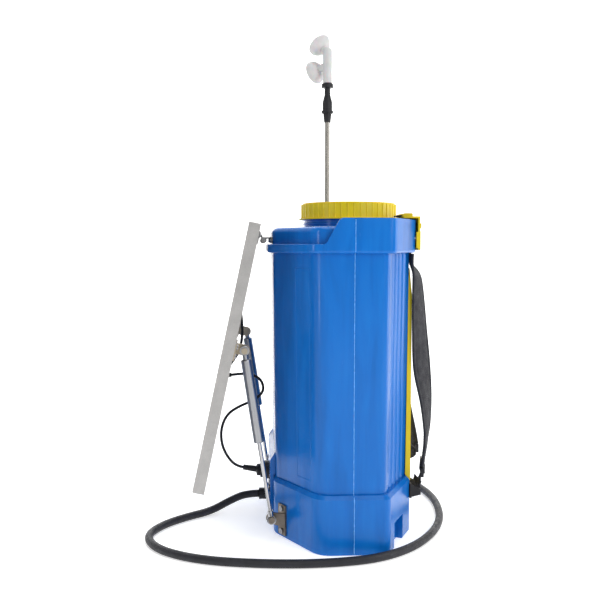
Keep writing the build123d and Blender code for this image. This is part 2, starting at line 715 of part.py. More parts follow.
with BuildPart() as lid:
    with BuildSketch(Plane.XY.offset(LID_LOW + 2)):
        with Locations((0, MOUTH_Y)):
            Circle(LID_R - 1.0)
            with PolarLocations(LID_R - 1.4, LID_RIBS):
                Circle(1.4)
    extrude(amount=LID_TOP - 4 - LID_LOW)
    with Locations((0, MOUTH_Y, LID_LOW)):
        Cylinder(LID_R + 3.3, 2.0, align=UP)
    with Locations((0, MOUTH_Y, LID_TOP - 2)):
        Cylinder(LID_R - 3.0, 2.0, align=UP)
    with Locations((0, MOUTH_Y, LID_TOP - 1)):
        Cylinder(LID_R - 9.0, 2.0, align=UP, mode=Mode.SUBTRACT)
    with Locations((0, MOUTH_Y, LID_LOW)):
        Cylinder(LID_R - 2.1, LID_TOP - 3.5 - LID_LOW, align=UP, mode=Mode.SUBTRACT)
save(lid.part, "lid")


# ---------------------------------------------------------------- solar panel
PANEL_AT = Plane(
    origin=(0, *PANEL_MID),
    x_dir=(1, 0, 0),
    z_dir=(0, -math.cos(math.radians(PANEL_TILT)), math.sin(math.radians(PANEL_TILT))),
).location
BACK = -PANEL_T / 2  # local z of the panel's back


def panel_local(y, z):
    """A (Y, Z) place in the panel's own y and z."""
    turn = math.radians(PANEL_TILT)
    dy = y - PANEL_MID[0]
    dz = z - PANEL_MID[1]
    return dy * math.sin(turn) + dz * math.cos(turn), -dy * math.cos(turn) + dz * math.sin(turn)


def panel_global(y, z):
    """A place in the panel's own y and z, as (Y, Z)."""
    turn = math.radians(PANEL_TILT)
    return (
        PANEL_MID[0] + y * math.sin(turn) - z * math.cos(turn),
        PANEL_MID[1] + y * math.cos(turn) + z * math.sin(turn),
    )


LEAF_TOP = 187.0  # local y where the hinge leaf leaves the panel's back
BRACKET_T = 2.0
strut_high = panel_local(*STRUT_HIGH)
PANEL_SCREWS = {
    "hinge": (
        [
            Location((s * HINGE_X + dx, LEAF_TOP - 6.0, BACK), (180, 0, 0))
            for s in SIDES.values()
            for dx in (-24.0, 24.0)
        ],
        SHEET, 1.5, 2.8, 1.8,
    ),
    "strut": (
        [
            Location((s * 164.0, strut_high[0] + dy, BACK), (180, 0, 0))
            for s in SIDES.values()
            for dy in (-7.0, 7.0)
        ],
        BRACKET_T, 2.0, 3.8, 2.2,
    ),
}

with BuildPart() as panel_frame:
    Box(PANEL_W, PANEL_L, PANEL_T)
    fillet(panel_frame.edges().filter_by(Axis.Z), radius=3.0)
    fillet(panel_frame.faces().sort_by(Axis.Z)[-1].edges(), radius=1.0)
    # lip, groove for the laminate, shelf, hollow and back flange, from front to back
    hollows = [
        (8.0, LAMINATE_T + 3.0, PANEL_T),
        (FRAME_WALL, 3.0, LAMINATE_T + 3.0),
        (8.0, 1.0, 3.2),
        (FRAME_WALL, BACK + 1.5, 1.5),
        (FLANGE_W, BACK - 1, BACK + 2),
    ]
    for inset, low, high in hollows:
        with Locations((0, 0, low)):
            Box(PANEL_W - 2 * inset, PANEL_L - 2 * inset, high - low, align=UP, mode=Mode.SUBTRACT)
    for sx in (-1, 1):
        for sy in (-1, 1):
            with Locations(Location((sx * PANEL_W / 2, sy * PANEL_L / 2, 0), (0, 0, sx * sy * 45))):
                Box(80, 0.16, 3 * PANEL_T, mode=Mode.SUBTRACT)
    for places, held, shank_r, head_r, head_h in PANEL_SCREWS.values():
        for place in places:
            with Locations(place):
                Cylinder(shank_r + HOLE_PLAY, 6, mode=Mode.SUBTRACT)
save(panel_frame.part.moved(PANEL_AT), "panel_frame")

with BuildPart() as solar_laminate:
    with Locations((0, 0, 3.0)):
        Box(PANEL_W - 2 * FRAME_WALL - 0.2, PANEL_L - 2 * FRAME_WALL - 0.2, LAMINATE_T, align=UP)
save(solar_laminate.part.moved(PANEL_AT), "solar_laminate")

JUNCTION = (0.0, 108.0)
with BuildPart() as junction_box:
    with Locations((*JUNCTION, -7.8)):
        Box(84.0, 50.0, 10.8, align=UP)
    fillet(junction_box.edges().filter_by(Axis.Z), radius=4.0)
    chamfer(junction_box.faces().sort_by(Axis.Z)[0].edges(), length=1.2)
    with Locations(Location((0, JUNCTION[1] - 25.0, -4.0), (90, 0, 0))):
        Cylinder(3.8, 10.0, align=UP)
save(junction_box.part.moved(PANEL_AT), "junction_box")

# the lead bows out behind the panel, from the junction box to a clip
lead_route = [
    (0, y, z)
    for y, z in (
        (73.0, -4.0),
        (61.0, -4.0),
        (39.0, -11.5),
        (15.0, -17.0),
        (-8.0, -16.8),
        (-24.0, -11.0),
        (-35.0, -5.5),
        (-43.0, -5.5),
    )
]
save(tube(lead_route, CABLE_R, "panel lead").moved(PANEL_AT), "panel_lead")

CLIP_EXIT = panel_global(-50.0, BACK)
EXIT_RISE = 7.0  # degrees that the cable rises as it leaves the clip
exit_dir = (math.cos(math.radians(EXIT_RISE)), math.sin(math.radians(EXIT_RISE)))
CABLE_START = (CLIP_EXIT[0] + 4.0 * exit_dir[0], CLIP_EXIT[1] + 4.0 * exit_dir[1])
with BuildPart() as clip_block:
    with Locations((0, -43.0, BACK + 0.2)):
        Box(18.0, 17.0, 3.0 - BACK - 0.2, align=(Align.CENTER, Align.MAX, Align.MIN))
    fillet(clip_block.edges().filter_by(Axis.Z), radius=2.0)
with BuildPart() as cable_clip:
    add(clip_block.part.moved(PANEL_AT))
    with Locations(Plane(origin=(0, *CABLE_START), z_dir=(0, -exit_dir[0], -exit_dir[1])).location):
        Cylinder(3.4, 7.0, align=UP)
save(cable_clip.part, "cable_clip")

with BuildPart() as hinge_leaves_tank:
    axis_y, axis_z = HINGE_AXIS
    top = axis_z + KNUCKLE_R
    dome_y = DOME_PLAN[1]
    for s in SIDES.values():
        with Locations((s * HINGE_X, dome_y, 441.0)):
            Box(56.0, SHEET, top - 441.0, align=(Align.CENTER, Align.MAX, Align.MIN))
        with Locations((s * HINGE_X, dome_y, top)):
            Box(56.0, 4.0, SHEET, align=(Align.CENTER, Align.MAX, Align.MAX))
            Box(15.6, dome_y - axis_y, SHEET, align=(Align.CENTER, Align.MAX, Align.MAX))
        with Locations(Location((s * HINGE_X, axis_y, axis_z), (0, 90, 0))):
            Cylinder(KNUCKLE_R, 15.6)
            Cylinder(HINGE_PIN_R + RUN, 20, mode=Mode.SUBTRACT)
    for place in TANK_SCREWS["hinge"][0]:
        with Locations(place):
            Cylinder(1.5 + HOLE_PLAY, 10, mode=Mode.SUBTRACT)
save(hinge_leaves_tank.part, "hinge_leaves_tank")

hinge_y, hinge_z = panel_local(*HINGE_AXIS)
with BuildPart() as hinge_leaves_panel:
    for s in SIDES.values():
        with Locations((s * HINGE_X, LEAF_TOP - 9.5, BACK)):
            Box(56.0, 19.0, SHEET, align=(Align.CENTER, Align.CENTER, Align.MAX))
        for dx in (-14.0, 14.0):
            with BuildSketch(Plane.YZ.offset(s * HINGE_X + dx)):
                strip(
                    [
                        (LEAF_TOP - 0.75, BACK - SHEET / 2),
                        (hinge_y + 3.0, hinge_z + 2.2),
                    ],
                    SHEET,
                )
                with Locations((LEAF_TOP - 0.75, BACK - SHEET / 2)):
                    Circle(SHEET / 2)
                with Locations((hinge_y, hinge_z)):
                    Circle(KNUCKLE_R)
                    Circle(HINGE_PIN_R, mode=Mode.SUBTRACT)
            extrude(amount=6.0, both=True)
    for place in PANEL_SCREWS["hinge"][0]:
        with Locations(place):
            Cylinder(1.5 + HOLE_PLAY, 10, mode=Mode.SUBTRACT)
save(hinge_leaves_panel.part.moved(PANEL_AT), "hinge_leaves_panel")

with BuildPart() as hinge_pins:
    for s in SIDES.values():
        with Locations(Location((s * HINGE_X, *HINGE_AXIS), (0, 90, 0))):
            Cylinder(HINGE_PIN_R, KNUCKLE_L + 0.4)
            with Locations((0, 0, KNUCKLE_L / 2), (0, 0, -KNUCKLE_L / 2 - 1.4)):
                Cylinder(3.4, 1.4, align=UP)
save(hinge_pins.part, "hinge_pins")

# ---------------------------------------------------------------- struts
strut_turn = math.atan2(STRUT_LOW[0] - STRUT_HIGH[0], STRUT_HIGH[1] - STRUT_LOW[1])
STRUT_L = math.dist(STRUT_LOW, STRUT_HIGH)
TAB_X = (STRUT_X - 10.5, STRUT_X - 7.0)  # the bracket tab stands on the inner side of the eye
TAB_ROOT_Y = -91.0
TAB_ROOT_Z = (17.0, 39.0)  # between the foot plate's screw heads


def strut_at(s):
    """The strut's own frame: z runs from the lower eye to the upper one."""
    return Plane(
        origin=(s * STRUT_X, *STRUT_LOW),
        x_dir=(1, 0, 0),
        z_dir=(0, -math.sin(strut_turn), math.cos(strut_turn)),
    ).location


def pivot_pin(s):
    """Shoulder, pin and head along X, from the tab through the eye."""
    steps = ((TAB_X[1] - 0.1, 132.2, 4.5), (132.1, 138.0, STRUT_PIN_R), (137.9, 140.0, 4.6))
    for start, end, radius in steps:
        with Locations(Location((s * (start + end) / 2, 0, 0), (0, 90, 0))):
            Cylinder(radius, end - start)


for side, s in SIDES.items():
    with BuildPart() as strut_rod:
        with Locations(Rotation(0, 90, 0)):
            Cylinder(EYE_R, EYE_T)
        Cylinder(4.5, 14.0, align=UP)
        Cylinder(STRUT_ROD_R, 132.0, align=UP)
        with Locations((0, 0, 128.5)):
            Cylinder(6.2, 5.5, align=UP)
        with Locations(Rotation(0, 90, 0)):
            Cylinder(STRUT_PIN_R + RUN, 20, mode=Mode.SUBTRACT)
        with Locations(*[(dx * (EYE_T / 2 + 4), 0, 0) for dx in (-1, 1)]):
            Box(8, 16, 12, mode=Mode.SUBTRACT)
    save(strut_rod.part.moved(strut_at(s)), f"strut_rod_{side}")

    with BuildPart() as strut_tube:
        with Locations((0, 0, STRUT_TUBE[0])):
            Cylinder(STRUT_TUBE_R, STRUT_TUBE[1] - STRUT_TUBE[0], align=UP)
        fillet(strut_tube.edges(), radius=1.6)
        with Locations((0, 0, STRUT_TUBE[1] - 2)):
            Cylinder(4.0, STRUT_L - STRUT_TUBE[1] - 4, align=UP)
        with Locations((0, 0, STRUT_TUBE[0])):
            Cylinder(STRUT_ROD_R + RUN, 20, mode=Mode.SUBTRACT)
        with Locations((0, 0, STRUT_TUBE[0] + 8.0)):
            Cylinder(6.3, STRUT_TUBE[1] - STRUT_TUBE[0] - 14.0, align=UP, mode=Mode.SUBTRACT)
        with Locations(Location((0, 0, STRUT_L), (0, 90, 0))):
            Cylinder(EYE_R, EYE_T)
            Cylinder(STRUT_PIN_R + OPEN_PIVOT_GAP, 20, mode=Mode.SUBTRACT)
    save(strut_tube.part.moved(strut_at(s)), f"strut_tube_{side}")

with BuildPart() as strut_feet:
    for s in SIDES.values():
        with Locations(on_face(s * FOOT_X, FOOT_Y, FOOT_Z, (s * REAR_NORMAL.X, REAR_NORMAL.Y, 0))):
            Box(*FOOT_SIZE, FOOT_T, align=UP)
        with BuildSketch(Plane.YZ.offset(s * (TAB_X[0] + TAB_X[1]) / 2)):
            with BuildLine():
                Polyline(
                    (TAB_ROOT_Y, TAB_ROOT_Z[0]),
                    (TAB_ROOT_Y, TAB_ROOT_Z[1]),
                    (STRUT_LOW[0], STRUT_LOW[1] + 8.0),
                    (STRUT_LOW[0], STRUT_LOW[1] - 8.0),
                    close=True,
                )
            make_face()
            with Locations(STRUT_LOW):
                Circle(8.0)
        extrude(amount=(TAB_X[1] - TAB_X[0]) / 2, both=True)
        with Locations((0, *STRUT_LOW)):
            pivot_pin(s)
    for place in TANK_SCREWS["strut_foot"][0]:
        with Locations(place):
            Cylinder(2.0 + HOLE_PLAY, 12, mode=Mode.SUBTRACT)
save(strut_feet.part, "strut_feet")

with BuildPart() as strut_brackets:
    pin_y, pin_z = strut_high
    for s in SIDES.values():
        with Locations((s * 145.5, pin_y, BACK)):
            Box(55.0, 24.0, BRACKET_T, align=(Align.CENTER, Align.CENTER, Align.MAX))
        with BuildSketch(Plane.YZ.offset(s * (TAB_X[0] + TAB_X[1]) / 2)):
            with Locations((pin_y, (pin_z + BACK) / 2)):
                Rectangle(16.0, BACK - pin_z)
            with Locations((pin_y, pin_z)):
                Circle(8.0)
        extrude(amount=(TAB_X[1] - TAB_X[0]) / 2, both=True)
        with Locations((0, pin_y, pin_z)):
            pivot_pin(s)
    with Locations((0, pin_y, BACK - 0.001)):
        Box(400, 60, 20, align=UP, mode=Mode.SUBTRACT)
    for place in PANEL_SCREWS["strut"][0]:
        with Locations(place):
            Cylinder(2.0 + HOLE_PLAY, 12, mode=Mode.SUBTRACT)
save(strut_brackets.part.moved(PANEL_AT), "strut_brackets")

# ---------------------------------------------------------------- back plate and straps
with BuildPart() as back_plate:
    with BuildSketch(Plane.YZ):
        with BuildLine():
            Polyline(
                (BASE_PLAN[2] + 0.1, PLATE_LOW),
                (PLATE_Y, PLATE_LOW),
                (PLATE_Y, 362.0),
                (body_y(PLATE_TOP) + 1.4, PLATE_TOP),
                (body_y(PLATE_TOP) + 0.05, PLATE_TOP),
                (body_y(BASE_TOP) + 0.1, BASE_TOP + 0.6),
                (BASE_PLAN[2] + 0.1, BASE_TOP - 4.8),
                close=True,
            )
        make_face()
    extrude(amount=PLATE_HALF, both=True)
    # moulded cross grooves
    for i in range(10):
        with Locations((0, PLATE_Y, 100.0 + 26.0 * i)):
            Box(140.0, 2.4, 6.0, mode=Mode.SUBTRACT)
    for key in ("plate_low", "plate_high"):
        for place in TANK_SCREWS[key][0]:
            with Locations(place):
                Cylinder(1.8 + HOLE_PLAY, 30, mode=Mode.SUBTRACT)
    for z in PLATE_SCREW_Z:
        for x in (-30.0, 30.0):
            with Locations(on_face(x, PLATE_SEAT_Y, z, (0, 1, 0))):
                Cylinder(4.0, 10, align=UP, mode=Mode.SUBTRACT)
save(back_plate.part, "back_plate")

STRAP_SECTIONS = {  # Y and Z of the pad's middle, and its twist
    "right": [
        (103.7, 424.6, 4.0),
        (104.8, 408.0, 8.0),
        (112.5, 390.0, 23.0),
        (115.1, 367.0, 29.0),
        (118.4, 306.0, 36.5),
        (122.4, 251.0, 41.0),
        (129.2, 200.0, 31.0),
        (131.4, 159.0, 22.0),
        (130.5, 142.0, 18.5),
        (129.1, 127.0, 16.5),
        (125.3, 99.0, 13.5),
    ],
    "left": [
        (103.7, 424.6, 0.0),
        (104.0, 408.0, 2.0),
        (108.0, 390.0, 2.0),
        (110.0, 367.0, 0.0),
        (114.0, 306.0, -2.0),
        (118.0, 251.0, -4.0),
        (123.5, 200.0, -6.0),
        (130.4, 158.0, -6.0),
        (138.5, 120.0, -6.0),
        (143.0, 95.0, -6.0),
    ],
}
PAD_W = 50.0
PAD_T = 6.0
LOWER_WEB_W = 38.0
LOWER_WEB_T = 2.5
BUCKLE = (47.0, 5.0, 15.0)
BUCKLE_SLOT = (40.0, 2.8)
BUCKLE_GAP = 1.2  # between the pad's end and the buckle
BUCKLE_SLOTS_AT = (5.0, 10.4)  # below the buckle's top
LOWER_WEB = {  # middle of the webbing from the buckle down to the hook's bar
    "right": [(124.6, 82.0), (121.6, 75.5), (117.8, 65.0)],
    "left": [(143.3, 78.0), (141.2, 72.6), (132.5, 67.6), (116.5, 66.6)],
}
UPPER_WEB = [(99.8, 425.0), (99.8, 476.2), (107.3, 476.2), (107.3, 460.5)]
HANGER_HALF = 30.0
for side, s in SIDES.items():
    sections = STRAP_SECTIONS[side]
    with BuildPart() as shoulder_pad:
        for i, (y, z, twist) in enumerate(sections):
            before = sections[max(i - 1, 0)]
            after = sections[min(i + 1, len(sections) - 1)]
            along = Vector(0, after[0] - before[0], after[1] - before[1]).normalized()
            out = Vector(0, -along.Z, along.Y)
            turn = math.radians(twist)
            across = Vector(math.cos(turn), 0, 0) - out * math.sin(turn)
            with BuildSketch(Plane(origin=(s * STRAP_X, y, z), x_dir=across, z_dir=along)):
                Rectangle(PAD_W, PAD_T)
        loft(ruled=True)
    save(shoulder_pad.part, f"shoulder_pad_{side}")

    end_y, end_z, end_twist = sections[-1]
    with BuildPart() as buckle:
        Box(*BUCKLE, align=(Align.CENTER, Align.CENTER, Align.MAX))
        fillet(buckle.edges().filter_by(Axis.Y), radius=2.0)
        with Locations(*[(0, 0, -down) for down in BUCKLE_SLOTS_AT]):
            Box(BUCKLE_SLOT[0], 4 * BUCKLE[1], BUCKLE_SLOT[1], mode=Mode.SUBTRACT)
    buckle_at = Location((s * STRAP_X, end_y - 0.1, end_z - BUCKLE_GAP), (0, 0, -end_twist))
    save(buckle.part.moved(buckle_at), f"buckle_{side}")

    with BuildPart() as lower_webbing:
        with BuildSketch(Plane.YZ.offset(s * STRAP_X)):
            strip(LOWER_WEB[side], LOWER_WEB_T)
            with Locations(HOOK_BAR):
                Circle(HOOK_BAR_R + 0.1 + LOWER_WEB_T)
                Circle(HOOK_BAR_R + 0.1, mode=Mode.SUBTRACT)
        extrude(amount=LOWER_WEB_W / 2, both=True)
    save(lower_webbing.part, f"lower_webbing_{side}")

    with BuildPart() as strap_hook:
        with Locations((s * STRAP_X, BASE_PLAN[2], HOOK_BAR[1])):
            Box(50.0, HOOK_T, 22.0, align=(Align.CENTER, Align.MIN, Align.CENTER))
        with BuildSketch(Plane.YZ.offset(s * STRAP_X)):
            with BuildLine():
                Polyline(
                    (BASE_PLAN[2], HOOK_BAR[1] - 10.0),
                    (HOOK_BAR[0] + 4.0, HOOK_BAR[1] - 6.0),
                    (HOOK_BAR[0] + 4.0, HOOK_BAR[1] + 3.0),
                    (BASE_PLAN[2], HOOK_BAR[1] + 11.0),
                    close=True,
                )
            make_face()
        extrude(amount=25.0, both=True)
        with Locations((s * STRAP_X, BASE_PLAN[2] + HOOK_T, HOOK_BAR[1])):
            Box(41.0, 40.0, 60.0, align=(Align.CENTER, Align.MIN, Align.CENTER), mode=Mode.SUBTRACT)
        with Locations(Location((s * STRAP_X, *HOOK_BAR), (0, 90, 0))):
            Cylinder(HOOK_BAR_R, 44.0)
        for place in TANK_SCREWS["strap_hook"][0]:
            with Locations(place):
                Cylinder(1.8 + HOLE_PLAY, 12, mode=Mode.SUBTRACT)
    save(strap_hook.part, f"strap_hook_{side}")

    with BuildPart() as upper_webbing:
        with BuildSketch(Plane.YZ.offset(s * STRAP_X)):
            strip(UPPER_WEB, WEB_T)
        extrude(amount=WEB_W / 2, both=True)
        with Locations((s * STRAP_X, 85.9, 481.6)):
            Box(WEB_W, 6.0, WEB_T, align=(Align.CENTER, Align.MAX, Align.CENTER))
    save(upper_webbing.part, f"upper_webbing_{side}")

    with BuildPart() as strap_hanger:
        with BuildSketch(Plane.YZ.offset(s * STRAP_X)):
            with Locations((93.0, 481.3)):
                RectangleRounded(14.0, 7.4, 2.0)
            strip([(93.0, 479.0), (110.0, 479.0), (110.0, 430.8)], 2.8)
            with Locations((110.9, 466.0)):
                RectangleRounded(4.6, 8.0, 1.5)
            with Locations((110.4, 444.5)):
                RectangleRounded(3.6, 29.0, 1.5)
        extrude(amount=HANGER_HALF, both=True)
        for dx in (-26.5, 26.5):
            with Locations((s * STRAP_X + dx, RIM_PLAN[2], 445.0)):
                Box(7.0, 3.0, 24.0, align=(Align.CENTER, Align.MIN, Align.CENTER))
        for place in TANK_SCREWS["hanger"][0]:
            with Locations(place):
                Cylinder(1.8 + HOLE_PLAY, 12, mode=Mode.SUBTRACT)
            with Locations(place * Location((0, 0, 4.0))):
                Cylinder(3.9, 12, align=UP, mode=Mode.SUBTRACT)
    save(strap_hanger.part, f"strap_hanger_{side}")

# ---------------------------------------------------------------- screws
with BuildPart() as tank_screws:
    for places, held, shank_r, head_r, head_h in TANK_SCREWS.values():
        screw_set(places, held, shank_r, head_r, head_h)
save(tank_screws.part, "tank_screws")

with BuildPart() as panel_screws:
    for places, held, shank_r, head_r, head_h in PANEL_SCREWS.values():
        screw_set(places, held, shank_r, head_r, head_h)
save(panel_screws.part.moved(PANEL_AT), "panel_screws")

# ---------------------------------------------------------------- lance
LANCE_AT = (LANCE[0], LANCE[1])
CLIP_Z = {455.0: RIM_PLAN[0], 320.0: SIDE - WEARER + body_y(330.0)}  # height, and X of the wall there
with BuildPart() as lance_clips:
    for z, wall_x in CLIP_Z.items():
        with BuildSketch(Plane.XY.offset(z - 8.0)):
            with Locations(LANCE_AT):
                Circle(8.0)
            with Locations((-wall_x, LANCE[1])):
                Rectangle(-LANCE[0] - wall_x, 10.0, align=(Align.MAX, Align.CENTER))
                Rectangle(3.0, 30.0, align=(Align.MAX, Align.CENTER))
            with Locations(LANCE_AT):
                Circle(TUBE_R + GAP, mode=Mode.SUBTRACT)
                Rectangle(20.0, 2 * TUBE_R + 0.4, align=(Align.MAX, Align.CENTER), mode=Mode.SUBTRACT)
        extrude(amount=16.0)
save(lance_clips.part, "lance_clips")

VALVE_Z = TRIGGER_PIVOT[1] - 12.0
with BuildPart() as grip:
    with BuildSketch(Plane.XY.offset(GRIP_LOW)):
        with Locations(LANCE_AT):
            Ellipse(14.0, 17.0)
    extrude(amount=GRIP_TOP - GRIP_LOW)
    fillet(grip.edges(), radius=3.0)
    with Locations((LANCE[0], TRIGGER_PIVOT[0] + 4.0, TRIGGER_PIVOT[1])):
        for dx in (-6.9, 6.9):
            with Locations((dx, 0, 0)):
                Box(3.2, 20.0, 12.0)
    with Locations(Location((LANCE[0], *TRIGGER_PIVOT), (0, 90, 0))):
        Cylinder(2.0, 16.0)
    with Locations((*LANCE_AT, GRIP_LOW)):
        Cylinder(4.0, 300, mode=Mode.SUBTRACT)
    with Locations(Location((LANCE[0], LANCE[1], VALVE_Z), (90, 0, 0))):
        Cylinder(3.0 + RUN, 40, align=UP, mode=Mode.SUBTRACT)
    for i in range(6):
        with Locations((LANCE[0], LANCE[1] + 18.6, GRIP_LOW + 20.0 + 15.0 * i)):
            Cylinder(3.2, 40, rotation=(0, 90, 0), mode=Mode.SUBTRACT)
save(grip.part, "grip")

with BuildPart() as hose_tail:
    with BuildSketch(Plane.XY.offset(GRIP_LOW - 12.0)):
        with Locations(LANCE_AT):
            RegularPolygon(10.0, 8)
    extrude(amount=12.0)
    with Locations((*LANCE_AT, GRIP_LOW - 18.0)):
        Cylinder(8.2, 7.0, align=UP)
    with Locations((*LANCE_AT, GRIP_LOW - 18.0)):
        Cylinder(3.5, 60, mode=Mode.SUBTRACT)
save(hose_tail.part, "hose_tail")

with BuildPart() as lance_nut:
    with BuildSketch(Plane.XY.offset(GRIP_TOP)):
        with Locations(LANCE_AT):
            RegularPolygon(11.0, 8)
    extrude(amount=16.0)
    with Locations((*LANCE_AT, GRIP_TOP + 16.0)):
        Cone(9.5, 7.0, 7.0, align=UP)
    with Locations((*LANCE_AT, GRIP_TOP)):
        Cylinder(TUBE_R, 60, mode=Mode.SUBTRACT)
save(lance_nut.part, "lance_nut")

with BuildPart() as lance_tube:
    with Locations((*LANCE_AT, GRIP_TOP)):
        Cylinder(TUBE_R, TUBE_TOP + 13.0 - GRIP_TOP, align=UP)
        Cylinder(TUBE_R - 1.2, 2000, mode=Mode.SUBTRACT)
save(lance_tube.part, "lance_tube")

LANCE_AXIS = Axis((*LANCE_AT, 0), (0, 0, 1))
with BuildPart() as lance_tip:
    with BuildSketch(Plane.YZ.offset(LANCE[0])):
        with BuildLine():
            Polyline(
                *[
                    (LANCE[1] + r, z)
                    for r, z in (
                        (0.0, 666.0),
                        (6.0, 666.0),
                        (7.6, 680.0),
                        (7.6, 683.0),
                        (11.0, 683.0),
                        (11.0, 687.0),
                        (9.0, 688.0),
                        (9.0, 703.0),
                        (5.6, 716.0),
                        (5.2, 730.0),
                        (10.8, 730.0),
                        (10.8, 736.0),
                        (8.0, TIP_TOP),
                        (0.0, TIP_TOP),
                    )
                ],
                close=True,
            )
        make_face()
    revolve(axis=LANCE_AXIS)
    with Locations((*LANCE_AT, TUBE_TOP + 13.0)):
        Cylinder(TUBE_R, 40, align=(Align.CENTER, Align.CENTER, Align.MAX), mode=Mode.SUBTRACT)
        Cylinder(2.5, 300, mode=Mode.SUBTRACT)
save(lance_tip.part, "lance_tip")

pivot_y, pivot_z = TRIGGER_PIVOT
with BuildPart() as trigger:
    with BuildSketch(Plane.YZ.offset(LANCE[0])):
        strip(
            [
                (pivot_y, pivot_z),
                (pivot_y - 4.0, pivot_z - 30.0),
                (pivot_y - 10.0, pivot_z - 60.0),
                (pivot_y - 16.0, pivot_z - 92.0),
                (pivot_y - 15.0, pivot_z - 98.0),
            ],
            5.0,
        )
        with Locations(TRIGGER_PIVOT):
            Circle(4.6)
    extrude(amount=5.0, both=True)
    with Locations(Location((LANCE[0], *TRIGGER_PIVOT), (0, 90, 0))):
        Cylinder(2.0 + RUN, 30, mode=Mode.SUBTRACT)
save(trigger.part, "trigger")

with BuildPart() as valve_pin:
    with Locations(Location((LANCE[0], -22.2, VALVE_Z), (-90, 0, 0))):
        Cylinder(3.0, 17.0, align=UP)
save(valve_pin.part, "valve_pin")

HOOD_DEPTH = 18.0
HOOD_NECK_R = 7.5
HOOD_WALL = 1.5
HOODS = [(790.8, 45.0, 11.8), (771.4, -15.0, 17.0)]  # height on the head, rise in degrees, apex distance


def hood_at(z, rise):
    """A hood's frame: its z axis is the way that it sprays."""
    flat = math.cos(math.radians(rise))
    turn = math.radians(HOOD_TURN)
    return Plane(
        origin=(*LANCE_AT, z),
        z_dir=(-flat * math.sin(turn), -flat * math.cos(turn), math.sin(math.radians(rise))),
    ).location


with BuildPart() as nozzle_body:
    with Locations((*LANCE_AT, TIP_TOP + GAP)):
        Cylinder(8.6, HEAD_TOP - TIP_TOP - GAP, align=UP)
    fillet(nozzle_body.faces().sort_by(Axis.Z)[-1].edges(), radius=4.0)
    for z, rise, apex in HOODS:
        with Locations(hood_at(z, rise)):
            Cylinder(HOOD_NECK_R, apex + 2.0, align=UP)
        with Locations(hood_at(z, rise) * Location((0, 0, apex + 2.0))):
            Cone(HOOD_NECK_R + 0.1, HOOD_R + 1.5, HOOD_DEPTH, align=UP, mode=Mode.SUBTRACT)
    with Locations((*LANCE_AT, TIP_TOP)):
        Cylinder(3.0, 50, align=UP, mode=Mode.SUBTRACT)
save(nozzle_body.part, "nozzle_body")

HOOD_LINE = ((0.5, 3.0), (0.72, 6.5), (0.88, 11.0), (0.97, 15.0))  # share of the radius, height over the apex
HOOD_FOOT = (HOOD_NECK_R, 2.05, 3.8)  # radius, outer and inner height over the apex
hood_shells = []
for hood_z, rise, apex in HOODS:
    outer = [(HOOD_FOOT[0], apex + HOOD_FOOT[1])]
    outer += [(HOOD_R * share, apex + height) for share, height in HOOD_LINE]
    outer += [(HOOD_R, apex + HOOD_DEPTH)]
    inner = [(HOOD_FOOT[0], apex + HOOD_FOOT[2])]
    inner += [(r - HOOD_WALL, height + 0.9) for r, height in outer[1:-1]]
    inner += [(HOOD_R - HOOD_WALL, apex + HOOD_DEPTH)]
    with BuildPart() as hood:
        with BuildSketch(Plane.XZ):
            with BuildLine():
                Polyline(*outer, *reversed(inner), close=True)
            make_face()
        revolve(axis=Axis.Z)
    hood_shells.append(hood.part.moved(hood_at(hood_z, rise)))
with BuildPart() as nozzle_hoods:
    for hood_shell in hood_shells:
        add(hood_shell)
save(nozzle_hoods.part, "nozzle_hoods")

with BuildPart() as nozzle_tips:
    for z, rise, apex in HOODS:
        with Locations(hood_at(z, rise) * Location((0, 0, apex + 2.0))):
            Cylinder(4.4, 5.0, align=UP)
            Cylinder(0.8, 40, mode=Mode.SUBTRACT)
save(nozzle_tips.part, "nozzle_tips")

# ---------------------------------------------------------------- hose and panel cable
hose_route = [
    (OUTLET[0], HOSE_START, OUTLET[1]),
    (OUTLET[0], -151.0, OUTLET[1]),
    (-4.0, -178.0, 17.0),
    (12.0, -207.0, HOSE_R),
    (38.0, -245.0, HOSE_R),
    (74.0, -280.0, HOSE_R),
    (118.0, -297.0, HOSE_R),
    (164.0, -279.0, HOSE_R),
    (197.0, -240.0, HOSE_R),
    (218.0, -190.0, HOSE_R),
    (229.0, -132.0, HOSE_R),
    (234.0, -74.0, HOSE_R),
    (231.0, -15.0, HOSE_R),
    (219.0, 38.0, HOSE_R),
    (186.0, 88.0, HOSE_R),
    (135.0, 128.0, HOSE_R),
    (78.0, 154.0, HOSE_R),
    (20.0, 166.0, HOSE_R),
    (-38.0, 169.0, HOSE_R),
    (-95.0, 160.0, HOSE_R),
    (-147.0, 138.0, HOSE_R),
    (-186.0, 110.0, HOSE_R),
    (-210.0, 72.0, 9.0),
    (-216.0, 30.0, 27.0),
    (LANCE[0], LANCE[1], 64.0),
    (LANCE[0], LANCE[1], GRIP_LOW - 18.0),
]
save(tube(hose_route, HOSE_R, "hose"), "hose")

cable_last = (
    PLUG_TAIL[0] - 12.0 * math.cos(math.radians(PLUG_TILT)),
    PLUG_TAIL[1] + 12.0 * math.sin(math.radians(PLUG_TILT)),
)
cable_route = [
    (0.0, *CABLE_START),
    (0.0, CABLE_START[0] + 14.0 * exit_dir[0], CABLE_START[1] + 14.0 * exit_dir[1]),
    (2.0, -141.0, 229.0),
    (6.0, -124.0, 220.0),
    (9.0, -120.0, 201.0),
    (11.0, -137.0, 187.0),
    (11.0, -160.0, 178.0),
    (9.0, -180.0, 165.0),
    (7.0, -190.0, 142.0),
    (4.0, -190.0, 116.0),
    (1.0, -181.0, 93.0),
    (0.0, *cable_last),
    (0.0, *PLUG_TAIL),
]
save(tube(cable_route, CABLE_R, "panel cable"), "panel_cable")
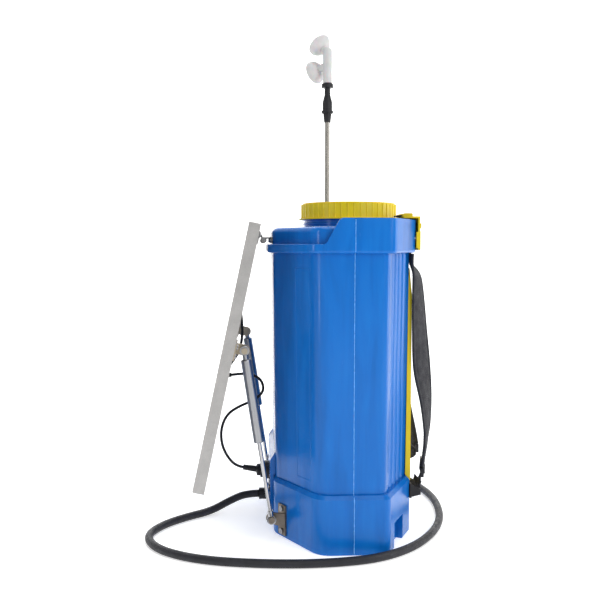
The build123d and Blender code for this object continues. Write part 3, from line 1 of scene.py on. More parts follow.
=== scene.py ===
"""A solar backpack sprayer on a plain studio floor, built around its CAD frame.

Metres, +Z up, with the solar panel at -Y and the wearer's back at +Y.
"""

import math

import bmesh
import bpy
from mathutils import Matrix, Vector, noise
from mathutils.bvhtree import BVHTree


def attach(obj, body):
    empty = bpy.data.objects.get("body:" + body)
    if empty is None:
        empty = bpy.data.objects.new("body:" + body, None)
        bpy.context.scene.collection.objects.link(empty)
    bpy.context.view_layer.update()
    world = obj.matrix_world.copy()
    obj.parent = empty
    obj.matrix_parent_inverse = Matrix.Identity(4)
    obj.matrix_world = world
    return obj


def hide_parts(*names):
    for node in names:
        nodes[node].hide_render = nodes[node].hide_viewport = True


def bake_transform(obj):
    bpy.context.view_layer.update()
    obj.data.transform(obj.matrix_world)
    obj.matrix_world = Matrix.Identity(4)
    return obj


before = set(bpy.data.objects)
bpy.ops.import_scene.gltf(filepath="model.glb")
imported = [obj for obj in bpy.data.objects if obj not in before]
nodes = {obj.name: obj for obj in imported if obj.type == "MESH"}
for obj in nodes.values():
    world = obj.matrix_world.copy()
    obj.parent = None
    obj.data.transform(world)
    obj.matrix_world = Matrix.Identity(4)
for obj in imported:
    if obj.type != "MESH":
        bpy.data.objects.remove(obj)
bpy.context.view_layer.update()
scene = bpy.context.scene
MM = 0.001
SPLINE_STEPS = 16
NEARLY_UPRIGHT = 0.95


# ---------------------------------------------------------------- camera
EYE = (1.275, -0.134, 0.438)
CAMERA_YAW = math.radians(3.26)
CAMERA_PITCH = math.radians(4.0)
LENS = 47.34
SENSOR_W = 36.0

camera_data = bpy.data.cameras.new("camera")
camera_data.lens = LENS
camera_data.sensor_width = SENSOR_W
camera = bpy.data.objects.new("camera", camera_data)
scene.collection.objects.link(camera)
look = Vector((
    -math.cos(CAMERA_YAW) * math.cos(CAMERA_PITCH),
    math.sin(CAMERA_YAW) * math.cos(CAMERA_PITCH),
    -math.sin(CAMERA_PITCH),
))
camera.location = EYE
camera.rotation_euler = look.to_track_quat("-Z", "Y").to_euler()
scene.camera = camera
scene.view_settings.view_transform = "Standard"


# ---------------------------------------------------------------- mesh helpers
def link(name, mesh):
    """A new object for a mesh, in the scene."""
    obj = bpy.data.objects.new(name, mesh)
    scene.collection.objects.link(obj)
    return obj


def from_bmesh(name, bm, smooth=True):
    """An object from a bmesh, with its normals made consistent."""
    bmesh.ops.recalc_face_normals(bm, faces=bm.faces)
    mesh = bpy.data.meshes.new(name)
    bm.to_mesh(mesh)
    bm.free()
    if smooth:
        mesh.shade_smooth()
    return link(name, mesh)


def spline_points(route):
    """A curve object whose one NURBS spline has the route's points as its control points."""
    data = bpy.data.curves.new("route", "CURVE")
    data.dimensions = "3D"
    data.resolution_u = SPLINE_STEPS
    spline = data.splines.new("NURBS")
    spline.points.add(len(route) - 1)
    for point, place in zip(spline.points, route):
        point.co = (*place, 1.0)
    spline.order_u = 3
    spline.use_endpoint_u = True
    return link("route", data)


def read_line(route):
    """Points along the route's NURBS spline, as Blender evaluates it."""
    curve = spline_points(route)
    depsgraph = bpy.context.evaluated_depsgraph_get()
    mesh = bpy.data.meshes.new_from_object(curve.evaluated_get(depsgraph))
    line = [v.co.copy() for v in mesh.vertices]
    bpy.data.meshes.remove(mesh)
    bpy.data.objects.remove(curve)
    return line


def frames_along(line):
    """(place, across, over) at each point of a line, turned as little as possible."""
    up = Vector((0, 0, 1))
    result = []
    over = None
    for i, place in enumerate(line):
        ahead = (line[min(i + 1, len(line) - 1)] - line[max(i - 1, 0)]).normalized()
        if over is None:
            start = up if abs(ahead.dot(up)) < NEARLY_UPRIGHT else Vector((1, 0, 0))
            over = (start - ahead * start.dot(ahead)).normalized()
        over = (over - ahead * over.dot(ahead)).normalized()
        result.append((place, ahead.cross(over).normalized(), over.copy()))
    return result


def tube(name, line, radius, sides):
    """A closed round tube along a line; its UVs run round it and, in metres, along it."""
    bm = bmesh.new()
    uv = bm.loops.layers.uv.new("UVMap")
    rings = []
    passed = 0.0
    marks = []
    frames = frames_along(line)
    for i, (place, across, over) in enumerate(frames):
        if i:
            passed += (place - frames[i - 1][0]).length
        marks.append(passed)
        ring = []
        for k in range(sides):
            a = 2 * math.pi * k / sides
            ring.append(bm.verts.new(place + (across * math.cos(a) + over * math.sin(a)) * radius))
        rings.append(ring)
    for i in range(len(rings) - 1):
        for k in range(sides):
            n = (k + 1) % sides
            face = bm.faces.new((rings[i][k], rings[i][n], rings[i + 1][n], rings[i + 1][k]))
            corners = ((k, i), (k + 1, i), (k + 1, i + 1), (k, i + 1))
            for loop, (u, v) in zip(face.loops, corners):
                loop[uv].uv = (u / sides, marks[v])
    bm.faces.new(rings[0][::-1])
    bm.faces.new(rings[-1])
    return from_bmesh(name, bm)


def catmull(points, steps):
    """Rows of numbers, smoothly filled in between the given rows."""
    rows = []
    for i in range(len(points) - 1):
        p0, p1 = points[max(i - 1, 0)], points[i]
        p2, p3 = points[i + 1], points[min(i + 2, len(points) - 1)]
        for k in range(steps):
            t = k / steps
            rows.append(
                tuple(
                    0.5
                    * (
                        2 * b
                        + (c - a) * t
                        + (2 * a - 5 * b + 4 * c - d) * t * t
                        + (3 * b - a - 3 * c + d) * t**3
                    )
                    for a, b, c, d in zip(p0, p1, p2, p3)
                )
            )
    rows.append(tuple(points[-1]))
    return rows


# ---------------------------------------------------------------- materials
FIELD_LOW, FIELD_HIGH = 0.3, 0.7  # the part of a noise field that most of a surface falls in


class Shader:
    """A Principled material with helpers for procedural detail in object coordinates."""

    def __init__(self, name, **sockets):
        self.material = bpy.data.materials.new(name)
        self.material.use_nodes = True
        self.tree = self.material.node_tree
        self.bsdf = self.tree.nodes["Principled BSDF"]
        for key, value in sockets.items():
            self.bsdf.inputs[key.replace("_", " ")].default_value = value
        self.coords = self.tree.nodes.new("ShaderNodeTexCoord")
        self.normal = None

    def space(self, scale=(1, 1, 1), rotation=(0, 0, 0), uv=False):
        """Coordinates in metres, stretched and turned."""
        mapping = self.tree.nodes.new("ShaderNodeMapping")
        mapping.inputs["Scale"].default_value = scale
        mapping.inputs["Rotation"].default_value = rotation
        self.tree.links.new(self.coords.outputs["UV" if uv else "Object"], mapping.inputs["Vector"])
        return mapping.outputs["Vector"]

    def noise(self, scale, detail=3.0, rough=0.55, space=None, distortion=0.0):
        """A noise field."""
        node = self.tree.nodes.new("ShaderNodeTexNoise")
        node.inputs["Scale"].default_value = scale
        node.inputs["Detail"].default_value = detail
        node.inputs["Roughness"].default_value = rough
        node.inputs["Distortion"].default_value = distortion
        self.tree.links.new(space or self.space(), node.inputs["Vector"])
        return node.outputs["Fac"]

    def wave(self, scale, space, direction="X", distortion=0.0):
        """Parallel bands."""
        node = self.tree.nodes.new("ShaderNodeTexWave")
        node.bands_direction = direction
        node.inputs["Scale"].default_value = scale
        node.inputs["Distortion"].default_value = distortion
        node.inputs["Detail"].default_value = 1.0
        self.tree.links.new(space, node.inputs["Vector"])
        return node.outputs["Fac"]

    def voronoi(self, scale):
        """Cells, by their distance."""
        node = self.tree.nodes.new("ShaderNodeTexVoronoi")
        node.inputs["Scale"].default_value = scale
        self.tree.links.new(self.space(), node.inputs["Vector"])
        return node.outputs["Distance"]

    def math(self, operation, a, b):
        """Two fields, or a field and a number, combined."""
        node = self.tree.nodes.new("ShaderNodeMath")
        node.operation = operation
        for socket, value in zip(node.inputs, (a, b)):
            if isinstance(value, (int, float)):
                socket.default_value = value
            else:
                self.tree.links.new(value, socket)
        return node.outputs["Value"]

    def ramp(self, field, stops):
        """Colours for a field: stops are (place, (r, g, b))."""
        node = self.tree.nodes.new("ShaderNodeValToRGB")
        elements = node.color_ramp.elements
        while len(elements) < len(stops):
            elements.new(0.5)
        for element, (place, colour) in zip(elements, stops):
            element.position = place
            element.color = (*colour, 1.0)
        self.tree.links.new(field, node.inputs["Fac"])
        return node.outputs["Color"]

    def mix(self, field, a, b):
        """Two colours, or colour outputs, mixed by a field."""
        node = self.tree.nodes.new("ShaderNodeMix")
        node.data_type = "RGBA"
        for socket, value in zip((node.inputs[0], node.inputs[6], node.inputs[7]), (field, a, b)):
            if isinstance(value, bpy.types.NodeSocket):
                self.tree.links.new(value, socket)
            elif isinstance(value, tuple):
                socket.default_value = (*value, 1.0)
            else:
                socket.default_value = value
        return node.outputs[2]

    def colour(self, output):
        """Sets the base colour."""
        self.tree.links.new(output, self.bsdf.inputs["Base Color"])

    def tones(self, colour, spread, field):
        """A base colour that drifts lighter and darker with a field."""
        low = tuple(c * (1 - spread) for c in colour)
        high = tuple(min(c * (1 + spread), 1.0) for c in colour)
        self.colour(self.ramp(field, [(FIELD_LOW, low), (FIELD_HIGH, high)]))

    def rough(self, low, high, field):
        """Roughness between two values."""
        node = self.tree.nodes.new("ShaderNodeMapRange")
        node.inputs["From Min"].default_value = FIELD_LOW
        node.inputs["From Max"].default_value = FIELD_HIGH
        node.inputs["To Min"].default_value = low
        node.inputs["To Max"].default_value = high
        self.tree.links.new(field, node.inputs["Value"])
        self.tree.links.new(node.outputs["Result"], self.bsdf.inputs["Roughness"])

    def bump(self, field, height, strength=1.0):
        """Raises the surface by a field, height in metres; more than one call adds up."""
        node = self.tree.nodes.new("ShaderNodeBump")
        node.inputs["Strength"].default_value = strength
        node.inputs["Distance"].default_value = height
        self.tree.links.new(field, node.inputs["Height"])
        if self.normal:
            self.tree.links.new(self.normal, node.inputs["Normal"])
        self.normal = node.outputs["Normal"]
        self.tree.links.new(self.normal, self.bsdf.inputs["Normal"])


def moulded(name, colour, gloss, grain, spread=0.12, scale=900.0, **sockets):
    """Moulded plastic or rubber: slow colour drift, uneven gloss and a fine grain."""
    s = Shader(name, **sockets)
    s.tones(colour, spread, s.noise(26.0, 4.0))
    s.rough(*gloss, s.noise(60.0, 5.0))
    s.bump(s.noise(scale, 2.0), grain)
    return s.material


def metal(name, colour, gloss, stretch=(1, 1, 1), grain=0.00002, spread=0.08, **sockets):
    """Metal with a drawn or brushed grain along the short side of stretch."""
    s = Shader(name, Metallic=1.0, **sockets)
    s.tones(colour, spread, s.noise(40.0, 5.0))
    brushed = s.noise(120.0, 6.0, space=s.space(stretch))
    s.rough(*gloss, brushed)
    s.bump(brushed, grain)
    return s.material


BLUE = (0.003, 0.132, 0.485)
BLUE_PALE = (0.005, 0.158, 0.54)
BLUE_SCUFF = (0.10, 0.30, 0.80)
YELLOW = (0.74, 0.56, 0.006)
YELLOW_DEEP = (0.68, 0.50, 0.006)


def tank_material():
    """Glossy blow-moulded polyethylene: slow ripples, faint flow streaks and small scuffs."""
    s = Shader(
        "tank_blue",
        Subsurface_Weight=0.1,
        Subsurface_Scale=0.003,
        Specular_IOR_Level=0.24,
        IOR=1.5,
    )
    s.bsdf.inputs["Subsurface Radius"].default_value = (0.2, 0.5, 1.0)
    streaks = s.noise(9.0, 4.0, space=s.space((6, 6, 0.7)), distortion=0.4)
    deep = tuple(c * 0.84 for c in BLUE)
    base = s.ramp(streaks, [(0.25, deep), (0.5, BLUE), (0.78, BLUE_PALE)])
    scuffs = s.noise(240.0, 6.0, 0.7, space=s.space((1, 1, 0.25)))
    worn = s.ramp(scuffs, [(0.66, (0, 0, 0)), (0.74, (1, 1, 1))])
    s.colour(s.mix(s.math("MULTIPLY", worn, 0.18), base, BLUE_SCUFF))
    s.rough(0.13, 0.27, s.noise(34.0, 5.0))
    s.bump(s.noise(7.5, 2.0, space=s.space((1, 1, 0.35))), 0.0022, 0.55)
    s.bump(s.noise(38.0, 3.0, space=s.space((1, 1, 0.5))), 0.0003, 0.5)
    s.bump(s.noise(1400.0, 2.0), 0.00002, 0.6)
    return s.material


def webbing_material(name, colour, fineness, fuzz):
    """Woven polyester: a twill of two crossing bands, with soft sheen."""
    s = Shader(name, Sheen_Weight=fuzz, Sheen_Roughness=0.45)
    bands = [
        s.wave(5.2 * fineness, s.space((60, 60, 60), (0, 0, math.radians(turn)), uv=True), distortion=0.6)
        for turn in (45, -45)
    ]
    weave = s.math("MAXIMUM", *bands)
    tone = s.noise(55.0, 5.0)
    dark = tuple(c * 0.45 for c in colour)
    faded = tuple(c * 1.9 for c in colour)
    thread = s.ramp(weave, [(0.35, dark), (0.9, colour)])
    s.colour(s.mix(s.math("MULTIPLY", tone, 0.5), thread, faded))
    s.rough(0.62, 0.92, s.noise(90.0, 4.0))
    s.bump(weave, 0.00035)
    s.bump(s.noise(2600.0, 2.0), 0.00008)
    return s.material


def rubber_hose_material(name, colour):
    """Hose rubber: fine rings from the mandrel, dusty patches and a soft shine."""
    s = Shader(name, Specular_IOR_Level=0.35)
    dust = s.noise(48.0, 6.0, 0.6)
    clean = tuple(c * 0.7 for c in colour)
    dusty = tuple(c * 1.5 for c in colour)
    s.colour(s.ramp(dust, [(0.3, clean), (0.75, dusty)]))
    s.rough(0.32, 0.55, s.noise(120.0, 5.0))
    s.bump(s.wave(14.0, s.space((1, 60, 1), uv=True), "Y", 1.2), 0.00006)
    s.bump(s.noise(1500.0, 3.0), 0.00004)
    return s.material


MATERIALS = {
    "tank": tank_material(),
    "lid": moulded(
        "lid_yellow", YELLOW, (0.3, 0.46), 0.00005, 0.1,
        Specular_IOR_Level=0.35, Subsurface_Weight=0.1, Subsurface_Scale=0.003,
    ),
    "yellow": moulded(
        "hanger_yellow", YELLOW_DEEP, (0.3, 0.46), 0.00005, 0.1, Specular_IOR_Level=0.35
    ),
    "plate": moulded(
        "plate_yellow", YELLOW_DEEP, (0.3, 0.46), 0.00006, 0.1, 700.0, Specular_IOR_Level=0.35
    ),
    "black": moulded(
        "black_moulding", (0.007, 0.007, 0.010), (0.42, 0.6), 0.00006, 0.25, Specular_IOR_Level=0.38
    ),
    "grip": moulded(
        "grip_black", (0.009, 0.009, 0.012), (0.45, 0.7), 0.00012, 0.25, 520.0, Specular_IOR_Level=0.4
    ),
    "socket": moulded("socket_black", (0.012, 0.012, 0.014), (0.25, 0.45), 0.00004, 0.2),
    "rubber": moulded("seal_rubber", (0.02, 0.02, 0.02), (0.6, 0.85), 0.00008, 0.2),
    "aluminium": metal(
        "anodised_aluminium", (0.43, 0.42, 0.41), (0.48, 0.64), (0.08, 6, 6), Coat_Weight=0.08
    ),
    "zinc": metal("zinc_plate", (0.40, 0.35, 0.27), (0.34, 0.55), grain=0.00004, spread=0.22),
    "foot_zinc": metal("aged_zinc", (0.20, 0.172, 0.145), (0.36, 0.58), grain=0.00004, spread=0.3),
    "hinge": metal("hinge_steel", (0.24, 0.24, 0.235), (0.3, 0.5), grain=0.00003, spread=0.18),
    "chrome": metal("chrome_rod", (0.42, 0.42, 0.43), (0.12, 0.22), (6, 6, 0.2), 0.000006, 0.04),
    "silver": metal("strut_silver", (0.34, 0.345, 0.36), (0.26, 0.40), (6, 6, 0.25), 0.00001, 0.06),
    "stainless": metal(
        "drawn_stainless", (0.27, 0.258, 0.232), (0.2, 0.34), (8, 8, 0.15), 0.000012, 0.06
    ),
    "brass": metal("brass", (0.72, 0.53, 0.24), (0.22, 0.4), grain=0.00003, spread=0.15),
    "screw": metal("screw_steel", (0.36, 0.36, 0.37), (0.2, 0.42), grain=0.00003, spread=0.12),
    "webbing": webbing_material("webbing_charcoal", (0.012, 0.012, 0.017), 1.0, 0.04),
    "pad": webbing_material("strap_charcoal", (0.0095, 0.0095, 0.0145), 0.8, 0.03),
    "thread": moulded("stitch_thread", (0.04, 0.04, 0.048), (0.6, 0.8), 0.0001, 0.3),
    "hose": rubber_hose_material("hose_rubber", (0.0115, 0.0115, 0.016)),
    "cable": rubber_hose_material("cable_rubber", (0.006, 0.006, 0.008)),
}
milky = Shader(
    "milky_nozzle", Transmission_Weight=0.12, IOR=1.46, Subsurface_Weight=0.3, Subsurface_Scale=0.003
)
milky.tones((0.585, 0.585, 0.59), 0.06, milky.noise(70.0, 4.0))
milky.rough(0.28, 0.44, milky.noise(160.0, 4.0))
milky.bump(milky.noise(600.0, 3.0), 0.00004)
MATERIALS["milky"] = milky.material

CAD_FINISH = {
    "tank": ["tank_shell", "bottom_cover", "rear_hatch"],
    "lid": ["lid"],
    "yellow": ["strap_hanger_left", "strap_hanger_right"],
    "plate": ["back_plate"],
    "black": [
        "switch_frame", "rocker", "hose_nut", "cable_plug", "junction_box", "cable_clip",
        "strainer_basket", "buckle_left", "buckle_right", "strap_hook_left", "strap_hook_right",
        "lance_clips", "hose_tail", "lance_nut", "lance_tip", "battery", "pump_head",
    ],
    "grip": ["grip", "trigger"],
    "socket": ["charging_socket"],
    "rubber": ["lid_gasket"],
    "aluminium": ["panel_frame"],
    "zinc": ["strut_brackets", "battery_bracket"],
    "foot_zinc": ["strut_feet"],
    "hinge": ["hinge_leaves_tank", "hinge_leaves_panel"],
    "chrome": ["strut_rod_left", "strut_rod_right"],
    "silver": ["strut_tube_left", "strut_tube_right", "pump_motor"],
    "stainless": ["lance_tube", "valve_pin", "pump_rotor"],
    "brass": ["nozzle_tips", "outlet_fitting"],
    "screw": ["tank_screws", "panel_screws", "hinge_pins"],
    "milky": ["nozzle_body", "nozzle_hoods", "inner_hoses"],
}


def paint(obj, key):
    """Gives an object one of the materials."""
    obj.data.materials.clear()
    obj.data.materials.append(MATERIALS[key])
    return obj


for key, names in CAD_FINISH.items():
    for name in names:
        paint(nodes[name], key)


# ---------------------------------------------------------------- hose and cables
HOSE_D = 0.012
HOSE_SIDES = 24
CABLE_D = 0.0044
CABLE_SIDES = 16
hose_route = [
    (-0.010, -0.129, 0.027),
    (-0.010, -0.151, 0.027),
    (-0.004, -0.178, 0.017),
    (0.012, -0.207, 0.006),
    (0.038, -0.245, 0.006),
    (0.074, -0.280, 0.006),
    (0.118, -0.297, 0.006),
    (0.164, -0.279, 0.006),
    (0.197, -0.240, 0.006),
    (0.218, -0.190, 0.006),
    (0.229, -0.132, 0.006),
    (0.234, -0.074, 0.006),
    (0.231, -0.015, 0.006),
    (0.219, 0.038, 0.006),
    (0.186, 0.088, 0.006),
    (0.135, 0.128, 0.006),
    (0.078, 0.154, 0.006),
    (0.020, 0.166, 0.006),
    (-0.038, 0.169, 0.006),
    (-0.095, 0.160, 0.006),
    (-0.147, 0.138, 0.006),
    (-0.186, 0.110, 0.006),
    (-0.210, 0.072, 0.009),
    (-0.216, 0.030, 0.027),
    (-0.214, 0.002, 0.064),
    (-0.214, 0.002, 0.110),
]
cable_route = [
    (0.0, -0.172935, 0.227318),
    (0.0, -0.159039, 0.229024),
    (0.002, -0.141, 0.229),
    (0.006, -0.124, 0.220),
    (0.009, -0.120, 0.201),
    (0.011, -0.137, 0.187),
    (0.011, -0.160, 0.178),
    (0.009, -0.180, 0.165),
    (0.007, -0.190, 0.142),
    (0.004, -0.190, 0.116),
    (0.001, -0.181, 0.093),
    (0.0, -0.166352, 0.076477),
    (0.0, -0.1545, 0.0746),
]
hose_line = read_line(hose_route)
hose = paint(tube("hose_run", hose_line, HOSE_D / 2, HOSE_SIDES), "hose")
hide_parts("hose")
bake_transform(hose)

cable_line = read_line(cable_route)
cable = paint(tube("solar_cable", cable_line, CABLE_D / 2, CABLE_SIDES), "cable")
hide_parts("panel_cable")
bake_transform(cable)


# ---------------------------------------------------------------- panel lead, cells and glass
PANEL_TILT = math.radians(12.14)
PANEL_MID = Vector((0, -0.1747, 0.2775))


def on_panel(x, y, z):
    """A point given in metres across, up and out of the panel."""
    sine, cosine = math.sin(PANEL_TILT), math.cos(PANEL_TILT)
    return PANEL_MID + Vector((x, y * sine - z * cosine, y * cosine + z * sine))


lead_route = [
    on_panel(0, y * MM, z * MM)
    for y, z in (
        (73, -4),
        (61, -4),
        (39, -11.5),
        (15, -17),
        (-8, -16.8),
        (-24, -11),
        (-35, -5.5),
        (-43, -5.5),
    )
]
lead_line = read_line(lead_route)
lead = paint(tube("panel_lead_run", lead_line, CABLE_D / 2, CABLE_SIDES), "cable")
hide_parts("panel_lead")
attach(lead, "panel")

cells_shader = Shader("solar_cells", Coat_Weight=1.0, Coat_Roughness=0.05, Specular_IOR_Level=0.6)
grain = cells_shader.voronoi(160.0)
tint = cells_shader.ramp(grain, [(0.1, (0.004, 0.007, 0.028)), (0.9, (0.010, 0.018, 0.062))])
fingers = cells_shader.wave(125.0, cells_shader.space(), "Z")
lines = cells_shader.ramp(fingers, [(0.93, (0, 0, 0)), (0.97, (1, 1, 1))])
silver_lines = cells_shader.math("MULTIPLY", lines, 0.35)
cells_shader.colour(cells_shader.mix(silver_lines, tint, (0.30, 0.31, 0.33)))
cells_shader.rough(0.28, 0.4, cells_shader.noise(300.0))
cells_shader.bump(grain, 0.00002)
MATERIALS["cells"] = cells_shader.material
glass = Shader("backsheet_under_glass", Coat_Weight=1.0, Coat_Roughness=0.04)
glass.tones((0.70, 0.71, 0.72), 0.05, glass.noise(30.0))
glass.rough(0.3, 0.42, glass.noise(90.0))
glass.bump(glass.noise(900.0), 0.00001)
MATERIALS["glass"] = glass.material
paint(nodes["solar_laminate"], "glass")
MATERIALS["busbar"] = metal("busbar_silver", (0.60, 0.60, 0.62), (0.3, 0.45), grain=0.00001)

COLUMNS, ROWS = 4, 9
CELL = (0.0780, 0.0388)
CELL_PITCH = (0.0805, 0.0405)
CELL_CUT = 0.004
FRONT = 0.00712  # the laminate's face, out from the panel's middle
CELL_RISE = 0.00008
BAR_RISE = (0.00009, 0.00018)
BAR_HALF = 0.0006
BAR_PLACES = (-0.022, 0.0, 0.022)
BAR_PAST_CELLS = 0.003
# which way each corner of a cell lies, and whether its cut is along X
CELL_CORNERS = (
    (-1, -1, True), (1, -1, True), (1, -1, False), (1, 1, False),
    (1, 1, True), (-1, 1, True), (-1, 1, False), (-1, -1, False),
)


def flat_patch(bm, corners, low, high):
    """A thin plate on the panel's front, from its outline."""
    foot = [bm.verts.new(on_panel(x, y, low)) for x, y in corners]
    top = [bm.verts.new(on_panel(x, y, high)) for x, y in corners]
    bm.faces.new(foot[::-1])
    bm.faces.new(top)
    for k in range(len(corners)):
        n = (k + 1) % len(corners)
        bm.faces.new((foot[k], foot[n], top[n], top[k]))


cell_mesh, bar_mesh = bmesh.new(), bmesh.new()
half_x, half_y = CELL[0] / 2, CELL[1] / 2
bar_end = ROWS * CELL_PITCH[1] / 2 + BAR_PAST_CELLS
for column in range(COLUMNS):
    cx = (column - (COLUMNS - 1) / 2) * CELL_PITCH[0]
    for row in range(ROWS):
        cy = (row - (ROWS - 1) / 2) * CELL_PITCH[1]
        outline = []
        for sx, sy, cut_x in CELL_CORNERS:
            reach_x = half_x - (CELL_CUT if cut_x else 0)
            reach_y = half_y - (0 if cut_x else CELL_CUT)
            outline.append((cx + sx * reach_x, cy + sy * reach_y))
        flat_patch(cell_mesh, outline, FRONT, FRONT + CELL_RISE)
    for off in BAR_PLACES:
        x_low, x_high = cx + off - BAR_HALF, cx + off + BAR_HALF
        bar = [(x_low, -bar_end), (x_high, -bar_end), (x_high, bar_end), (x_low, bar_end)]
        flat_patch(bar_mesh, bar, FRONT + BAR_RISE[0], FRONT + BAR_RISE[1])
cells = paint(from_bmesh("solar_cells", cell_mesh, False), "cells")
bars = paint(from_bmesh("cell_busbars", bar_mesh, False), "busbar")
for piece in (cells, bars):
    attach(piece, "panel")


# ---------------------------------------------------------------- shoulder straps
STRAP_X = {"right": 0.080, "left": -0.080}
PAD_W = 50.0
PAD_ROWS = {
    "right": [
        (103.7, 424.6, 4),
        (104.8, 408, 8),
        (112.5, 390, 23),
        (115.1, 367, 29),
        (118.4, 306, 36.5),
        (122.4, 251, 41),
        (129.2, 200, 31),
        (131.4, 159, 22),
        (130.5, 142, 18.5),
        (129.1, 127, 16.5),
        (125.3, 99, 13.5),
    ],
    "left": [
        (103.7, 424.6, 0),
        (104, 408, 2),
        (108, 390, 2),
        (110, 367, 0),
        (114, 306, -2),
        (118, 251, -4),
        (123.5, 200, -6),
        (130.4, 158, -6),
        (138.5, 120, -6),
        (143.0, 95, -6),
    ],
}
# half thickness in mm across half the pad's width: foam, stitch line, folded binding
PAD_PROFILE = [
    (0.0, 2.9), (0.3, 2.85), (0.5, 2.65), (0.64, 2.2), (0.72, 1.6), (0.755, 1.35), (0.785, 1.75),
    (0.82, 2.0), (0.92, 2.0), (0.975, 1.6), (1.0, 0.8),
]
WEB_PROFILE = [(0.0, 1.0), (0.5, 1.0), (0.9, 1.0), (0.965, 0.85), (1.0, 0.4)]
PAD_STEPS = 12
PAD_RIPPLE = 0.22
RIPPLE_RATE, RIPPLE_DRIFT = 240, 97
THREAD_WIDE, THREAD_HIGH = 0.00042, 0.0003
THREAD_SIDES = 6
STITCHED = 0.68  # share of a seam's pitch that shows thread
# each seam: share of the half width, height over the middle in mm, pitch
SEAMS = ((-0.87, 2.05, 0.0042), (0.87, 2.05, 0.0042), (-0.26, 2.9, 0.0045), (0.26, 2.9, 0.0045))


def strap_frames(x_mid, rows):
    """Place, width and face directions and length passed, for rows of Y and Z in mm and twist."""
    result = []
    passed = 0.0
    for i, (y, z, twist) in enumerate(rows):
        before, after = rows[max(i - 1, 0)], rows[min(i + 1, len(rows) - 1)]
        along = Vector((0, after[0] - before[0], after[1] - before[1])).normalized()
        out = Vector((0, -along.z, along.y))
        turn = math.radians(twist)
        across = Vector((math.cos(turn), 0, 0)) - out * math.sin(turn)
        place = Vector((x_mid, y * MM, z * MM))
        if i:
            passed += (place - result[-1][0]).length
        result.append((place, across, along.cross(across).normalized(), passed))
    return result


def add_strap(bm, frames, width, profile, ripple=0.0):
    """A closed flat strap with its own cross-section; UVs are metres across and along."""
    half_width = width / 2 * MM
    uv = bm.loops.layers.uv.verify()
    half = [(-s, h) for s, h in reversed(profile[1:])] + list(profile)
    loop = [(s, h) for s, h in half] + [(s, -h) for s, h in reversed(half)]
    rings = []
    for place, across, face, passed in frames:
        ring = []
        for s, h in loop:
            wave = math.sin(passed * RIPPLE_RATE + 2.1 * s) * math.cos(passed * RIPPLE_DRIFT)
            rise = (h + ripple * wave * (1 - s * s)) * MM
            ring.append(bm.verts.new(place + across * (s * half_width) + face * rise))
        rings.append(ring)
    count = len(loop)
    for i in range(len(rings) - 1):
        for k in range(count):
            n = (k + 1) % count
            quad = bm.faces.new((rings[i][k], rings[i][n], rings[i + 1][n], rings[i + 1][k]))
            marks = ((k, i), (n, i), (n, i + 1), (k, i + 1))
            for corner, (a, b) in zip(quad.loops, marks):
                corner[uv].uv = (loop[a][0] * half_width, frames[b][3])
    bm.faces.new(rings[0][::-1])
    bm.faces.new(rings[-1])


def add_stitch(bm, a, b, normal):
    """One thread of a seam: a short pinched bead from a to b."""
    ahead = b - a
    side = ahead.cross(normal).normalized()
    rings = []
    for t, grow in ((0.0, 0.35), (0.25, 1.0), (0.75, 1.0), (1.0, 0.35)):
        ring = []
        for k in range(THREAD_SIDES):
            turn = 2 * math.pi * k / THREAD_SIDES
            sideways = side * math.cos(turn) * THREAD_WIDE * grow
            raised = normal * math.sin(turn) * THREAD_HIGH * grow
            ring.append(bm.verts.new(a + ahead * t + sideways + raised))
        rings.append(ring)
    for lower, upper in zip(rings, rings[1:]):
        for k in range(THREAD_SIDES):
            n = (k + 1) % THREAD_SIDES
            bm.faces.new((lower[k], lower[n], upper[n], upper[k]))
    bm.faces.new(rings[0][::-1])
    bm.faces.new(rings[-1])


def sewn_line(bm, frames, s, height, pitch, face_side):
    """Stitches along a pad at a share s of its half width, on one face."""
    line = [
        (place + across * (s * PAD_W / 2 * MM) + face * (face_side * height * MM), face * face_side)
        for place, across, face, passed in frames
    ]
    carried = 0.0
    start = None
    for (p, normal), (q, after) in zip(line, line[1:]):
        step = (q - p).length
        at = 0.0
        while at < step:
            want = pitch * STITCHED if start is not None else pitch * (1 - STITCHED)
            move = min(want - carried, step - at)
            at += move
            carried += move
            if carried >= want - 1e-9:
                here = p.lerp(q, at / step)
                if start is not None:
                    add_stitch(bm, start, here, normal)
                start = None if start is not None else here
                carried = 0.0


for side, x_mid in STRAP_X.items():
    rows = catmull(PAD_ROWS[side], PAD_STEPS)
    frames = strap_frames(x_mid, rows)
    bm = bmesh.new()
    add_strap(bm, frames, PAD_W, PAD_PROFILE, PAD_RIPPLE)
    pad = paint(from_bmesh(f"shoulder_strap_{side}", bm), "pad")
    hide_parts(f"shoulder_pad_{side}")
    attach(pad, "tank")

    bm = bmesh.new()
    for face_side in (1, -1):
        for s, height, pitch in SEAMS:
            sewn_line(bm, frames[1:-1], s, height, pitch, face_side)
    threads = paint(from_bmesh(f"strap_stitches_{side}", bm), "thread")
    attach(threads, "tank")


# ---------------------------------------------------------------- webbing
HOOK_BAR = (113.5, 63.0)
RING_R = 4.9
ring = []
for a in (-5, -35, -65, -95, -125, -155, -185, -215, -240):
    sine, cosine = math.sin(math.radians(a)), math.cos(math.radians(a))
    ring.append((HOOK_BAR[0] + RING_R * cosine, HOOK_BAR[1] + RING_R * sine, 0))
